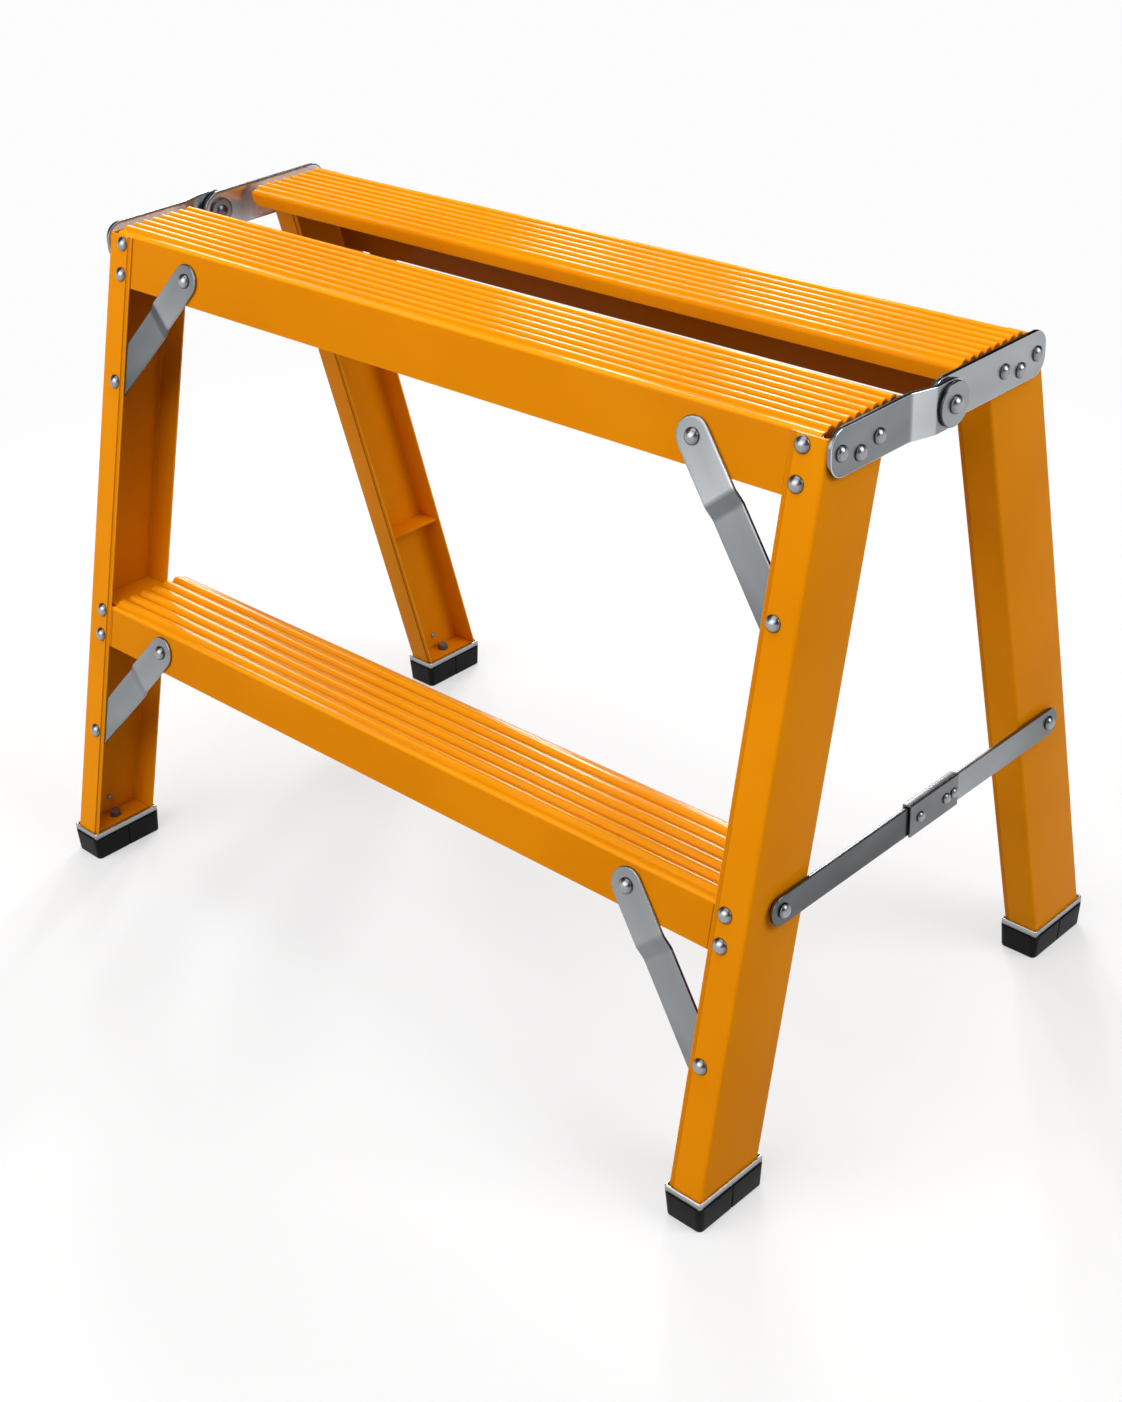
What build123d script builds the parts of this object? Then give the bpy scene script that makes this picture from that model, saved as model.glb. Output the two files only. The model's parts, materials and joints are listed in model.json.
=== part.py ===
from build123d import *
import os
from math import asin, atan, cos, radians, sin, tan

# Sawhorse ladder: two half frames of channel legs and ribbed planks, hinged along the top.
# +X runs along the planks, +Y to the rear, +Z up; the origin is on the floor under the fold axis.

os.makedirs("parts", exist_ok=True)

# Overall sizes, in millimetres and degrees
tread_height = 600.0  # floor to the crests of the plank ribs
frame_length = 800.0  # over the outer faces of the leg webs
top_width = 250.0  # over the front and rear legs at tread height
lean_angle = 13.4  # legs from the vertical
plank_gap = 64.0  # open gap between the planks

# Leg channel
leg_depth = 67.5  # front face to rear face, square to the leg
leg_flange = 31.0
leg_wall = 2.5
leg_bend = 2.0  # inside radius of the bends
edge_strip = 4.0  # thinned strip along the free edge of a flange
edge_step = 1.0
leg_top_drop = 4.5  # leg top below the rib crests

# Ribbed sheet of the planks and the step
sheet = 2.0
sheet_bend = 2.0  # inside radius of the bends
rib_height = 3.0
rib_flat = 0.5  # least flat strip between a bend and the first rib
crest_share = 0.68  # crest radius as a share of crest and valley radius together
plank_rib_pitch = 10.0
plank_apron = 49.0  # front plank's apron drop below the rib crests
rear_apron = 85.0  # rear plank's apron drop
plank_lip = 16.0  # inner lip drop below the rib crests
lip_corner = 10.0
sheet_end_gap = 6.0  # plank ends and step tabs to the leg web

# Step
step_height = 260.0
step_depth = 88.0
step_rib_pitch = 13.0
step_apron = 41.0
step_lip = 20.0
step_side_gap = 1.0  # tread ends to the leg flanges
tongue_gap = 1.5  # tread tongue to the walls inside the leg

# Domed rivets: head diameter, head height, shank diameter
frame_rivet = (13.0, 4.6, 6.0)
bar_rivet = (12.0, 4.2, 6.0)
stay_rivet = (12.0, 4.4, 7.0)
sleeve_rivet = (9.0, 3.2, 4.0)
foot_rivet = (6.0, 2.0, 3.0)
pin_rivet = (14.0, 5.2, 10.0)
head_rim = 0.8  # straight rim under each dome
tail_share = 0.8  # tail diameter as a share of the head
tail_height = 2.5
hole_gap = 0.05  # radial room of a shank in its hole

# Places of the frame rivets
rivet_inset = 20.0  # from the outer face of the web
plank_rivet_drops = (11.5, 38.0)  # below the rib crests
step_rivet_drops = (8.0, 32.0)

# Corner braces
brace_width = 30.0
brace_thick = 3.0
brace_run = 112.0  # upper rivet to the outer face of the web
brace_drop = 27.5  # upper rivet below the rib crests of the plank
step_brace_drop = 22.0  # upper rivet below the rib crests of the step
brace_fall = 106.0  # upper rivet to lower rivet, vertically
brace_clear = 5.0  # brace below the apron's edge before it bends back
brace_joggle_run = 10.0
plate_edge = 0.6  # rounding of the visible edges of bars

# Hinge bars
bar_height = 36.0
bar_thick = 4.0
bar_rise = 2.5  # bar top above the rib crests
bar_reach = 128.5  # fold axis to the outer end of a bar
bar_corner = 14.0
bar_rivet_reaches = (117.0, 96.0, 75.0)  # from the fold axis
bar_rivet_drops = (0.0, 6.5, 1.2)  # below the bar's middle
joggle_start = 18.5  # from the fold axis
joggle_end = 40.0
run_gap = 0.3  # side room between faces that turn on each other
spacer_thick = 2.4
spacer_width = 24.0
disc_thick = 3.0
disc_width = 33.5
inner_washer_thick = 2.0

# Folding stay at the right end
stay_height = 250.0
stay_width = 25.0
stay_thick = 3.5
stay_standoff = 2.6  # bar to web
stay_washer_width = 18.0
stay_centre = -9.0  # centre pivot from the fold axis, towards the rear
sleeve_wall = 2.0
sleeve_front = 13.0  # sleeve end ahead of the centre pivot
sleeve_rear = 50.0  # sleeve end behind the centre pivot
sleeve_skirt = 0.7  # sleeve walls below the bars
sleeve_rivet_reaches = (34.0, 44.5)  # behind the centre pivot
rear_bar_top = 18.0  # rear bar end behind the centre pivot, along its top edge
rear_bar_bottom = 34.0  # the same along its bottom edge

# Feet
foot_height = 23.5
foot_corner = 6.0
foot_lip = 1.0  # rubber beyond the tray
foot_taper = 4.0  # draught of the rubber sides, degrees
foot_groove = 1.2  # radius of the groove in the long sides
tray_base = 2.0
tray_wall = 2.0
tray_rim = 4.0  # rim height above the leg end
tray_gap = 0.4  # leg to tray rim
floor_thick = 2.5
floor_gap = 0.5  # floor plate to the channel
bolt_head_width = 10.0
bolt_head_height = 6.0
bolt_diameter = 6.0
bolt_depth = 14.0  # bolt end below the tray base
bolt_inset = 14.0  # bolt to the outer face of the web
foot_rivet_rise = 17.0  # web rivet above the leg end

# Stiffener shelf inside a rear leg
shelf_height = 195.0
shelf_thick = 2.0
shelf_tab = 26.0  # drop of the tab along the inner flange
shelf_gap = 0.4  # shelf to the channel

# Values worked out from the sizes above
lean = radians(lean_angle)
half_length = frame_length / 2
web_inside = half_length - leg_wall
flange_edge = half_length - leg_flange
rivet_x = half_length - rivet_inset
leg_top = tread_height - leg_top_drop
leg_end = foot_height + tray_base
tread_under = tread_height - rib_height - sheet
sheet_end = web_inside - sheet_end_gap
pivot_z = tread_height + bar_rise - bar_height / 2
joggle = bar_thick + run_gap + spacer_thick


def face_y(height, depth=0.0):
    """Y of a plane at a depth behind the front face of the front legs, at a height."""
    return -(top_width / 2 + (tread_height - height) * tan(lean)) + depth / cos(lean)


def face_plane(x, height, depth=0.0):
    """Plane square to the front face of the legs, sunk by a depth; its normal points to the front."""
    origin = (x, face_y(height) + depth * cos(lean), height - depth * sin(lean))
    return Plane(origin=origin, x_dir=(1, 0, 0), z_dir=(0, -cos(lean), sin(lean)))


def web_plane(y, height, out=0.0):
    """Plane on the outer face of the right-hand web; its normal points outwards."""
    return Plane(origin=(half_length + out, y, height), x_dir=(0, 1, 0), z_dir=(1, 0, 0))


def hole_radius(rivet):
    """Radius of the hole for a rivet's shank."""
    return rivet[2] / 2 + hole_gap


def mirrored(part, about):
    """Mirror image of a finished part."""
    with BuildPart() as image:
        mirror(part, about=about)
    return image.part


def save(part, name):
    """Label a finished part and write it as one node."""
    part.label = name
    export_step(part, f"parts/{name}.step")


def save_sides(part, name):
    """Write a right-hand part and its left-hand image."""
    save(part, f"{name}_right")
    save(mirrored(part, Plane.YZ), f"{name}_left")


def rear_of(part):
    """Rear image of a front part."""
    return mirrored(part, Plane.XZ)


def dome_points(radius, rise, foot):
    """Start, middle and top of the arc of a dome over a straight rim."""
    ball = (radius**2 + (rise - foot) ** 2) / (2 * (rise - foot))
    half_turn = asin(min(1.0, radius / ball)) / 2
    middle = (ball * sin(half_turn), rise - ball + ball * cos(half_turn))
    return (radius, foot), middle, (0, rise)


def rivet_body(rivet, grip, tail=True):
    """Domed rivet along Z: the head sits on Z = 0, the shank and its tail point down."""
    head_radius = rivet[0] / 2
    shank_radius = rivet[2] / 2
    tail_radius = head_radius * tail_share
    end = -grip - tail_height
    with BuildPart() as body:
        with BuildSketch(Plane.XZ):
            with BuildLine():
                ThreePointArc(*dome_points(head_radius, rivet[1], head_rim))
                Polyline((head_radius, head_rim), (head_radius, 0), (shank_radius, 0), (shank_radius, -grip))
                if tail:
                    Polyline((shank_radius, -grip), (tail_radius, -grip), (shank_radius, end), (0, end))
                    Line((0, end), (0, rivet[1]))
                else:
                    Polyline((shank_radius, -grip), (0, -grip), (0, rivet[1]))
            make_face()
        revolve(axis=Axis.Z)
    return body.part


def placed(part, planes):
    """Copies of a part at several planes, as one group."""
    with BuildPart() as group:
        with Locations(*planes):
            add(part)
    return group.part


def both_sides(places):
    """Places given for the right side, and the same on the left."""
    return [(side * x, height) for side in (1, -1) for x, height in places]


# Rivet places on the front face of the front frame: x and height on the right side
plank_rivets = [(rivet_x, tread_height - drop) for drop in plank_rivet_drops]
step_rivets = [(rivet_x, step_height - drop) for drop in step_rivet_drops]
brace_upper = (half_length - brace_run, tread_height - brace_drop)
brace_lower = (rivet_x, brace_upper[1] - brace_fall)
step_brace_upper = (half_length - brace_run, step_height - step_brace_drop)
step_brace_lower = (rivet_x, step_brace_upper[1] - brace_fall)

# Rivet places on the right-hand web of the front frame: y and height
bar_rivets = [(-reach, pivot_z - drop) for reach, drop in zip(bar_rivet_reaches, bar_rivet_drops)]
stay_y = face_y(stay_height, leg_depth / 2)
foot_rivet_height = leg_end + foot_rivet_rise
foot_rivet_place = (face_y(foot_rivet_height, leg_depth / 2), foot_rivet_height)


def channel_leg(face_holes, web_holes):
    """Right-hand front leg: a C channel cut level at both ends and open towards the middle."""
    middle = (leg_top + leg_end) / 2
    strip = flange_edge + edge_strip
    section = Plane(origin=(0, face_y(middle), middle), x_dir=(1, 0, 0), z_dir=(0, sin(lean), cos(lean)))
    with BuildPart() as leg:
        with BuildSketch(section):
            with BuildLine():
                FilletPolyline(
                    (strip, 0),
                    (half_length, 0),
                    (half_length, leg_depth),
                    (strip, leg_depth),
                    radius=leg_bend + leg_wall,
                )
                Polyline(
                    (strip, leg_depth),
                    (strip, leg_depth - edge_step),
                    (flange_edge, leg_depth - edge_step),
                    (flange_edge, leg_depth - leg_wall),
                )
                FilletPolyline(
                    (flange_edge, leg_depth - leg_wall),
                    (web_inside, leg_depth - leg_wall),
                    (web_inside, leg_wall),
                    (flange_edge, leg_wall),
                    radius=leg_bend,
                )
                Polyline((flange_edge, leg_wall), (flange_edge, edge_step), (strip, edge_step), (strip, 0))
            make_face()
        extrude(amount=tread_height, both=True)
        split(bisect_by=Plane.XY.offset(leg_top), keep=Keep.BOTTOM)
        split(bisect_by=Plane.XY.offset(leg_end), keep=Keep.TOP)
        # Room for the plank's tread, which lies on the rear flange
        notch_front = face_y(tread_under, leg_wall + sheet)
        with BuildSketch(Plane.XY.offset(tread_under)):
            with Locations((web_inside - leg_bend, notch_front)):
                Rectangle(leg_flange, 2 * leg_depth, align=(Align.MAX, Align.MIN))
        extrude(amount=tread_height, mode=Mode.SUBTRACT)
        with Locations(*[face_plane(x, height) for x, height in face_holes]):
            Cylinder(hole_radius(frame_rivet), 4 * leg_wall, mode=Mode.SUBTRACT)
        for y, height, radius in web_holes:
            with Locations(web_plane(y, height)):
                Cylinder(radius, 4 * leg_wall, mode=Mode.SUBTRACT)
    return leg.part


def rib_arcs(first_y, count, pitch, base):
    """Three arcs for each rib: out of a valley, over the crest and into the next valley."""
    turn = 2 * atan(2 * rib_height / pitch)
    radii = pitch / (2 * sin(turn))
    crest = crest_share * radii
    valley = radii - crest

    def rise(start, direction, angle):
        """Point on a valley arc that starts at the valley's bottom."""
        return (start + direction * valley * sin(angle), base + valley * (1 - cos(angle)))

    arcs = []
    for index in range(count):
        left = first_y + index * pitch
        right = left + pitch
        top = (left + pitch / 2, base + rib_height)
        arcs.append(((left, base), rise(left, 1, turn / 2), rise(left, 1, turn)))
        arcs.append((rise(left, 1, turn), top, rise(right, -1, turn)))
        arcs.append((rise(right, -1, turn), rise(right, -1, turn / 2), (right, base)))
    return arcs


def ribbed_sheet(half_span, crest_z, rear_y, apron, lip, pitch):
    """Bent sheet along X: an apron that follows the legs, a ribbed tread and an upright lip."""
    base = crest_z - rib_height
    under = base - sheet
    toe = crest_z - apron
    lip_end = crest_z - lip
    corner = (face_y(base, leg_wall), base)
    corner_inside = (face_y(under, leg_wall + sheet), under)
    margin = sheet + sheet_bend + rib_flat
    count = int((rear_y - corner[0] - 2 * margin) // pitch)
    first_y = (corner[0] + rear_y - count * pitch) / 2
    last_y = first_y + count * pitch
    outer = sheet + sheet_bend
    arcs = rib_arcs(first_y, count, pitch, base)
    with BuildPart() as ribbed:
        with BuildSketch(Plane.YZ.offset(-half_span)):
            with BuildLine():
                FilletPolyline((face_y(toe, leg_wall), toe), corner, (first_y, base), radius=outer)
                for arc in arcs:
                    ThreePointArc(*arc)
                FilletPolyline((last_y, base), (rear_y, base), (rear_y, lip_end), radius=outer)
                Line((rear_y, lip_end), (rear_y - sheet, lip_end))
                FilletPolyline(
                    (rear_y - sheet, lip_end),
                    (rear_y - sheet, under),
                    (last_y, under),
                    radius=sheet_bend,
                )
                for arc in arcs:
                    ThreePointArc(*[(y, z - sheet) for y, z in arc])
                FilletPolyline(
                    (first_y, under),
                    corner_inside,
                    (face_y(toe, leg_wall + sheet), toe),
                    radius=sheet_bend,
                )
                Line((face_y(toe, leg_wall + sheet), toe), (face_y(toe, leg_wall), toe))
            make_face()
        extrude(amount=2 * half_span)
        level_edges = ribbed.edges().filter_by(Axis.Y)
        lip_edges = level_edges.filter_by_position(Axis.Z, lip_end - sheet / 4, lip_end + sheet / 4)
        fillet(lip_edges, radius=min(lip_corner, 0.45 * lip))
    return ribbed.part


def drilled_apron(part, places):
    """Sheet with rivet holes through its apron."""
    with BuildPart() as drilled:
        add(part)
        with Locations(*[face_plane(x, height, leg_wall) for x, height in both_sides(places)]):
            Cylinder(hole_radius(frame_rivet), 4 * sheet, mode=Mode.SUBTRACT)
    return drilled.part


def step_part():
    """Ribbed step: the apron runs on as tabs behind the flanges, the tread as flat tongues inside the legs."""
    base = step_height - rib_height
    under = base - sheet
    toe = step_height - step_apron
    half_span = flange_edge - step_side_gap
    rear_y = face_y(base, leg_wall) + step_depth
    tab = [
        (face_y(toe, leg_wall), toe),
        (face_y(base, leg_wall), base),
        (face_y(base, leg_wall + sheet), base),
        (face_y(toe, leg_wall + sheet), toe),
    ]
    tongue_front = face_y(under, leg_wall + sheet) + sheet_bend + tongue_gap
    tongue_rear = face_y(base, leg_depth - leg_wall) - tongue_gap
    tongue_end = web_inside - tongue_gap
    tread = ribbed_sheet(half_span, step_height, rear_y, step_apron, step_lip, step_rib_pitch)
    with BuildPart() as step:
        add(tread)
        for side in (1, -1):
            with BuildSketch(Plane.YZ.offset(side * half_span)):
                with BuildLine():
                    Polyline(*tab, close=True)
                make_face()
            extrude(amount=side * (sheet_end - half_span))
            with BuildSketch(Plane.YZ.offset(side * half_span)):
                with Locations((tongue_front, under)):
                    Rectangle(tongue_rear - tongue_front, sheet, align=(Align.MIN, Align.MIN))
            extrude(amount=side * (tongue_end - half_span))
    return drilled_apron(step.part, step_rivets + [step_brace_upper])


def brace_part(upper, lower, toe):
    """Flat brace: its upper end lies on the apron, its lower end behind the leg flange; it bends under the toe."""
    across = lower[0] - upper[0]
    down = (lower[1] - upper[1]) / cos(lean)
    length = (across**2 + down**2) ** 0.5
    along = (across / length, down / length * sin(lean), down / length * cos(lean))
    flat = Plane(origin=face_plane(*upper, leg_wall).origin, x_dir=along, z_dir=(0, -cos(lean), sin(lean)))
    edge_on = Plane(origin=flat.origin, x_dir=along, z_dir=-flat.y_dir)
    end = brace_width / 2
    below = (upper[1] - toe) / cos(lean) + end * across / length + brace_clear
    start = below * length / -down
    stop = start + brace_joggle_run
    with BuildPart() as brace:
        with BuildSketch(edge_on):
            with BuildLine():
                Polyline(
                    (-end, 0),
                    (start, 0),
                    (stop, -brace_thick),
                    (length + end, -brace_thick),
                    (length + end, 0),
                    (stop, 0),
                    (start, brace_thick),
                    (-end, brace_thick),
                    close=True,
                )
            make_face()
        extrude(amount=end, both=True)
        with BuildSketch(flat):
            with Locations((length / 2, 0)):
                SlotCenterToCenter(length, brace_width)
        extrude(amount=2 * brace_thick, both=True, mode=Mode.INTERSECT)
        with Locations(*[face_plane(x, height, leg_wall) for x, height in (upper, lower)]):
            Cylinder(hole_radius(frame_rivet), 4 * brace_thick, mode=Mode.SUBTRACT)
    return brace.part


def bar_outline(reach):
    """Side view of a hinge bar from the fold axis to its outer end at the front."""
    with BuildSketch(Plane.YZ) as outline:
        with Locations((-reach, pivot_z)):
            Rectangle(reach, bar_height, align=(Align.MIN, Align.CENTER))
        fillet(outline.vertices().group_by(Axis.X)[0], radius=min(bar_corner, 0.45 * bar_height))
        with Locations((0, pivot_z)):
            Circle(bar_height / 2)
    return outline.sketch


def hinge_bar(offset):
    """Right-hand hinge bar on the front leg, stepped outwards by an offset around the fold axis."""
    inner = half_length
    outer = half_length + bar_thick
    ahead = bar_height
    with BuildPart() as bar:
        with BuildSketch(Plane.XY.offset(pivot_z - bar_height / 2)):
            with BuildLine():
                Polyline(
                    (inner, -bar_reach),
                    (outer, -bar_reach),
                    (outer, -joggle_end),
                    (outer + offset, -joggle_start),
                    (outer + offset, ahead),
                    (inner + offset, ahead),
                    (inner + offset, -joggle_start),
                    (inner, -joggle_end),
                    close=True,
                )
            make_face()
        extrude(amount=bar_height)
        extrude(bar_outline(bar_reach), amount=frame_length, mode=Mode.INTERSECT)
        with Locations(*[web_plane(y, height) for y, height in bar_rivets]):
            Cylinder(hole_radius(bar_rivet), 4 * bar_thick, mode=Mode.SUBTRACT)
        with Locations(web_plane(0, pivot_z)):
            Cylinder(hole_radius(pin_rivet), 8 * bar_thick, mode=Mode.SUBTRACT)
        outside = bar.faces().filter_by(Axis.X).group_by(Axis.X)[-1]
        fillet(outside.edges().filter_by(GeomType.LINE), radius=plate_edge)
    return bar.part


def ring(width, bore, thickness, plane):
    """Round washer that stands on a plane."""
    with BuildPart() as washer:
        with BuildSketch(plane):
            Circle(width / 2)
            Circle(bore, mode=Mode.SUBTRACT)
        extrude(amount=thickness)
    return washer.part


def hinge_washers():
    """Outer disc, spacer and inner washer of the right-hand fold pivot."""
    bore = hole_radius(pin_rivet)
    layers = (
        (disc_width, disc_thick, joggle + bar_thick),
        (spacer_width, spacer_thick, bar_thick + run_gap),
        (spacer_width, inner_washer_thick, -run_gap - inner_washer_thick),
    )
    rings = [ring(width, bore, thickness, web_plane(0, pivot_z, out)) for width, thickness, out in layers]
    with BuildPart() as washers:
        add(rings)
    return washers.part


def foot_box(height):
    """Middle and size of a leg's level section, over the tray rim's height above a level."""
    front = face_y(height)
    rear = face_y(height + tray_rim, leg_depth)
    return (half_length - leg_flange / 2, (front + rear) / 2), (leg_flange, rear - front)


def foot_tray():
    """Shallow metal tray that the leg end stands in."""
    (x, y), (width, depth) = foot_box(leg_end)
    room = 2 * tray_gap
    wall = room + 2 * tray_wall
    with BuildPart() as tray:
        with BuildSketch(Plane.XY.offset(foot_height)):
            with Locations((x, y)):
                RectangleRounded(width + wall, depth + wall, tray_wall + tray_gap)
        extrude(amount=tray_base + tray_rim)
        with BuildSketch(Plane.XY.offset(leg_end)):
            with Locations((x, y)):
                Rectangle(width + room, depth + room)
        extrude(amount=tray_rim, mode=Mode.SUBTRACT)
        with Locations((bolt_x, bolt_y, foot_height)):
            Cylinder(bolt_diameter / 2 + hole_gap, 4 * tray_base, mode=Mode.SUBTRACT)
        rim = tray.faces().filter_by(Axis.Z).sort_by(Axis.Z)[-1]
        fillet(rim.outer_wire().edges(), radius=plate_edge)
    return tray.part


def rubber_foot():
    """Rubber block under a tray, slightly narrower at the floor, with a groove in each long side."""
    (x, y), (width, depth) = foot_box(leg_end)
    wall = 2 * (tray_gap + tray_wall + foot_lip)
    half_width = (width + wall) / 2
    with BuildPart() as foot:
        with BuildSketch(Plane.XY.offset(foot_height)):
            with Locations((x, y)):
                RectangleRounded(2 * half_width, depth + wall, foot_corner)
        extrude(amount=-foot_height, taper=foot_taper)
        with Locations((x + half_width, y, foot_height / 2), (x - half_width, y, foot_height / 2)):
            Cylinder(foot_groove, 2 * foot_height, mode=Mode.SUBTRACT)
        with Locations((bolt_x, bolt_y, foot_height)):
            Cylinder(bolt_diameter / 2 + hole_gap, 2 * bolt_depth, mode=Mode.SUBTRACT)
        rims = foot.faces().filter_by(Axis.Z).sort_by(Axis.Z)
        fillet(rims[-1].outer_wire().edges() + rims[0].outer_wire().edges(), radius=plate_edge)
    return foot.part


def floor_plate():
    """Painted plate that closes the end of a leg channel."""
    top = leg_end + floor_thick
    front = face_y(top, leg_wall) + floor_gap
    rear = face_y(leg_end, leg_depth - leg_wall) - floor_gap
    left = flange_edge + edge_strip
    right = web_inside - leg_bend
    with BuildPart() as plate:
        with BuildSketch(Plane.XY.offset(leg_end)):
            with Locations((left, front)):
                Rectangle(right - left, rear - front, align=(Align.MIN, Align.MIN))
        extrude(amount=floor_thick)
        with Locations((bolt_x, bolt_y, leg_end)):
            Cylinder(bolt_diameter / 2 + hole_gap, 4 * floor_thick, mode=Mode.SUBTRACT)
    return plate.part


def foot_bolt():
    """Hexagon bolt that holds the floor plate, the tray and the rubber together."""
    head_seat = leg_end + floor_thick
    with BuildPart() as bolt:
        with BuildSketch(Plane.XY.offset(head_seat)):
            with Locations((bolt_x, bolt_y)):
                RegularPolygon(bolt_head_width / 2, 6, major_radius=False)
        extrude(amount=bolt_head_height)
        with BuildSketch(Plane.XY.offset(head_seat)):
            with Locations((bolt_x, bolt_y)):
                Circle(bolt_diameter / 2)
        extrude(amount=foot_height - bolt_depth - head_seat)
    return bolt.part


def leg_shelf():
    """Stiffener inside a leg: a level plate with a tab bent down along the inner flange."""
    low = shelf_height - shelf_thick
    inner_depth = leg_depth - leg_wall
    rear = face_y(low, inner_depth) - shelf_gap
    tab_end = low - shelf_tab
    tab_rear = face_y(tab_end, inner_depth) - shelf_gap
    with BuildPart() as shelf:
        with BuildSketch(Plane.YZ.offset(flange_edge + edge_strip)):
            with BuildLine():
                Polyline(
                    (face_y(shelf_height, leg_wall) + shelf_gap, shelf_height),
                    (rear, shelf_height),
                    (rear, low),
                    (tab_rear, tab_end),
                    (tab_rear - shelf_thick, tab_end),
                    (rear - shelf_thick, low),
                    (face_y(shelf_height, leg_wall) + shelf_gap, low),
                    close=True,
                )
            make_face()
        extrude(amount=web_inside - leg_bend - flange_edge - edge_strip)
    return shelf.part


def front_stay_bar():
    """Front bar of the stay, from the front leg to the centre pivot."""
    reach = stay_centre - stay_y
    with BuildPart() as bar:
        with BuildSketch(web_plane((stay_y + stay_centre) / 2, stay_height, stay_standoff)):
            SlotCenterToCenter(reach, stay_width)
        extrude(amount=stay_thick)
        with Locations(web_plane(stay_y, stay_height, stay_standoff)):
            Cylinder(hole_radius(stay_rivet), 4 * stay_thick, mode=Mode.SUBTRACT)
        with Locations(web_plane(stay_centre, stay_height, stay_standoff)):
            Cylinder(hole_radius(sleeve_rivet), 4 * stay_thick, mode=Mode.SUBTRACT)
    return bar.part


def rear_stay_bar():
    """Rear bar of the stay: a slanted end in the sleeve lets the front bar swing down beside it."""
    half = stay_width / 2
    end = -stay_y
    with BuildPart() as bar:
        with BuildSketch(web_plane(0, stay_height, stay_standoff)):
            with BuildLine():
                Polyline(
                    (end, half),
                    (stay_centre + rear_bar_top, half),
                    (stay_centre + rear_bar_bottom, -half),
                    (end, -half),
                )
                ThreePointArc((end, -half), (end + half, 0), (end, half))
            make_face()
        extrude(amount=stay_thick)
        with Locations(web_plane(end, stay_height, stay_standoff)):
            Cylinder(hole_radius(stay_rivet), 4 * stay_thick, mode=Mode.SUBTRACT)
        for reach in sleeve_rivet_reaches:
            with Locations(web_plane(stay_centre + reach, stay_height, stay_standoff)):
                Cylinder(hole_radius(sleeve_rivet), 4 * stay_thick, mode=Mode.SUBTRACT)
    return bar.part


def stay_sleeve():
    """U-shaped sleeve over the middle of the stay: its roof stops the front bar in line."""
    inside = stay_thick + 2 * run_gap
    bottom = -stay_width / 2 - sleeve_skirt
    roof = stay_width / 2 + run_gap
    first = half_length + stay_standoff - run_gap
    with BuildPart() as sleeve:
        with BuildSketch(Plane.XZ.offset(-(stay_centre - sleeve_front))):
            with Locations((first - sleeve_wall, stay_height + bottom)):
                Rectangle(
                    inside + 2 * sleeve_wall,
                    roof + sleeve_wall - bottom,
                    align=(Align.MIN, Align.MIN),
                )
            with Locations((first, stay_height + bottom)):
                Rectangle(inside, roof - bottom, align=(Align.MIN, Align.MIN), mode=Mode.SUBTRACT)
        extrude(amount=-(sleeve_front + sleeve_rear))
        for reach in (0,) + sleeve_rivet_reaches:
            with Locations(web_plane(stay_centre + reach, stay_height)):
                Cylinder(hole_radius(sleeve_rivet), frame_length / 4, mode=Mode.SUBTRACT)
        roof_edges = sleeve.edges().filter_by(Axis.Y).group_by(Axis.Z)[-1]
        fillet(roof_edges, radius=sleeve_wall / 2)
    return sleeve.part


# Bolt place under the leg end, on the right-hand front foot
bolt_x = half_length - bolt_inset
bolt_y = foot_box(leg_end)[0][1]

# Legs: the right-hand front leg also carries the stay
upper_holes = plank_rivets + [brace_lower]
front_holes = upper_holes + step_rivets + [step_brace_lower]
bar_holes = [(y, height, hole_radius(bar_rivet)) for y, height in bar_rivets]
foot_hole = (*foot_rivet_place, hole_radius(foot_rivet))
stay_hole = (stay_y, stay_height, hole_radius(stay_rivet))
plain_holes = bar_holes + [foot_hole]
save(channel_leg(front_holes, plain_holes + [stay_hole]), "front_leg_right")
save(mirrored(channel_leg(front_holes, plain_holes), Plane.YZ), "front_leg_left")
save(rear_of(channel_leg(upper_holes, plain_holes + [stay_hole])), "rear_leg_right")
save(mirrored(rear_of(channel_leg(upper_holes, plain_holes)), Plane.YZ), "rear_leg_left")

# Planks and step
bare_plank = ribbed_sheet(sheet_end, tread_height, -plank_gap / 2, plank_apron, plank_lip, plank_rib_pitch)
front_plank = drilled_apron(bare_plank, plank_rivets + [brace_upper])
save(front_plank, "front_plank")
deep_plank = ribbed_sheet(sheet_end, tread_height, -plank_gap / 2, rear_apron, plank_lip, plank_rib_pitch)
save(rear_of(drilled_apron(deep_plank, plank_rivets + [brace_upper])), "rear_plank")
save(step_part(), "step")

# Corner braces
save_sides(brace_part(brace_upper, brace_lower, tread_height - plank_apron), "front_brace")
save_sides(rear_of(brace_part(brace_upper, brace_lower, tread_height - rear_apron)), "rear_brace")
save_sides(brace_part(step_brace_upper, step_brace_lower, step_height - step_apron), "step_brace")

# Frame rivets: the head lies on the flange, or on the upper end of a brace
plank_rivet = rivet_body(frame_rivet, leg_wall + sheet)
upper_rivet = rivet_body(frame_rivet, brace_thick + sheet)
lower_rivet = rivet_body(frame_rivet, leg_wall + brace_thick)
upper_seat = leg_wall - brace_thick


def flange_planes(places):
    """Planes on the flange faces at both sides."""
    return [face_plane(x, height) for x, height in both_sides(places)]


def brace_rivet_group(upper, lower):
    """Upper and lower rivets of the two braces of one sheet."""
    upper_pair = placed(upper_rivet, [face_plane(x, height, upper_seat) for x, height in both_sides([upper])])
    lower_pair = placed(lower_rivet, flange_planes([lower]))
    with BuildPart() as group:
        add([upper_pair, lower_pair])
    return group.part


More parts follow.
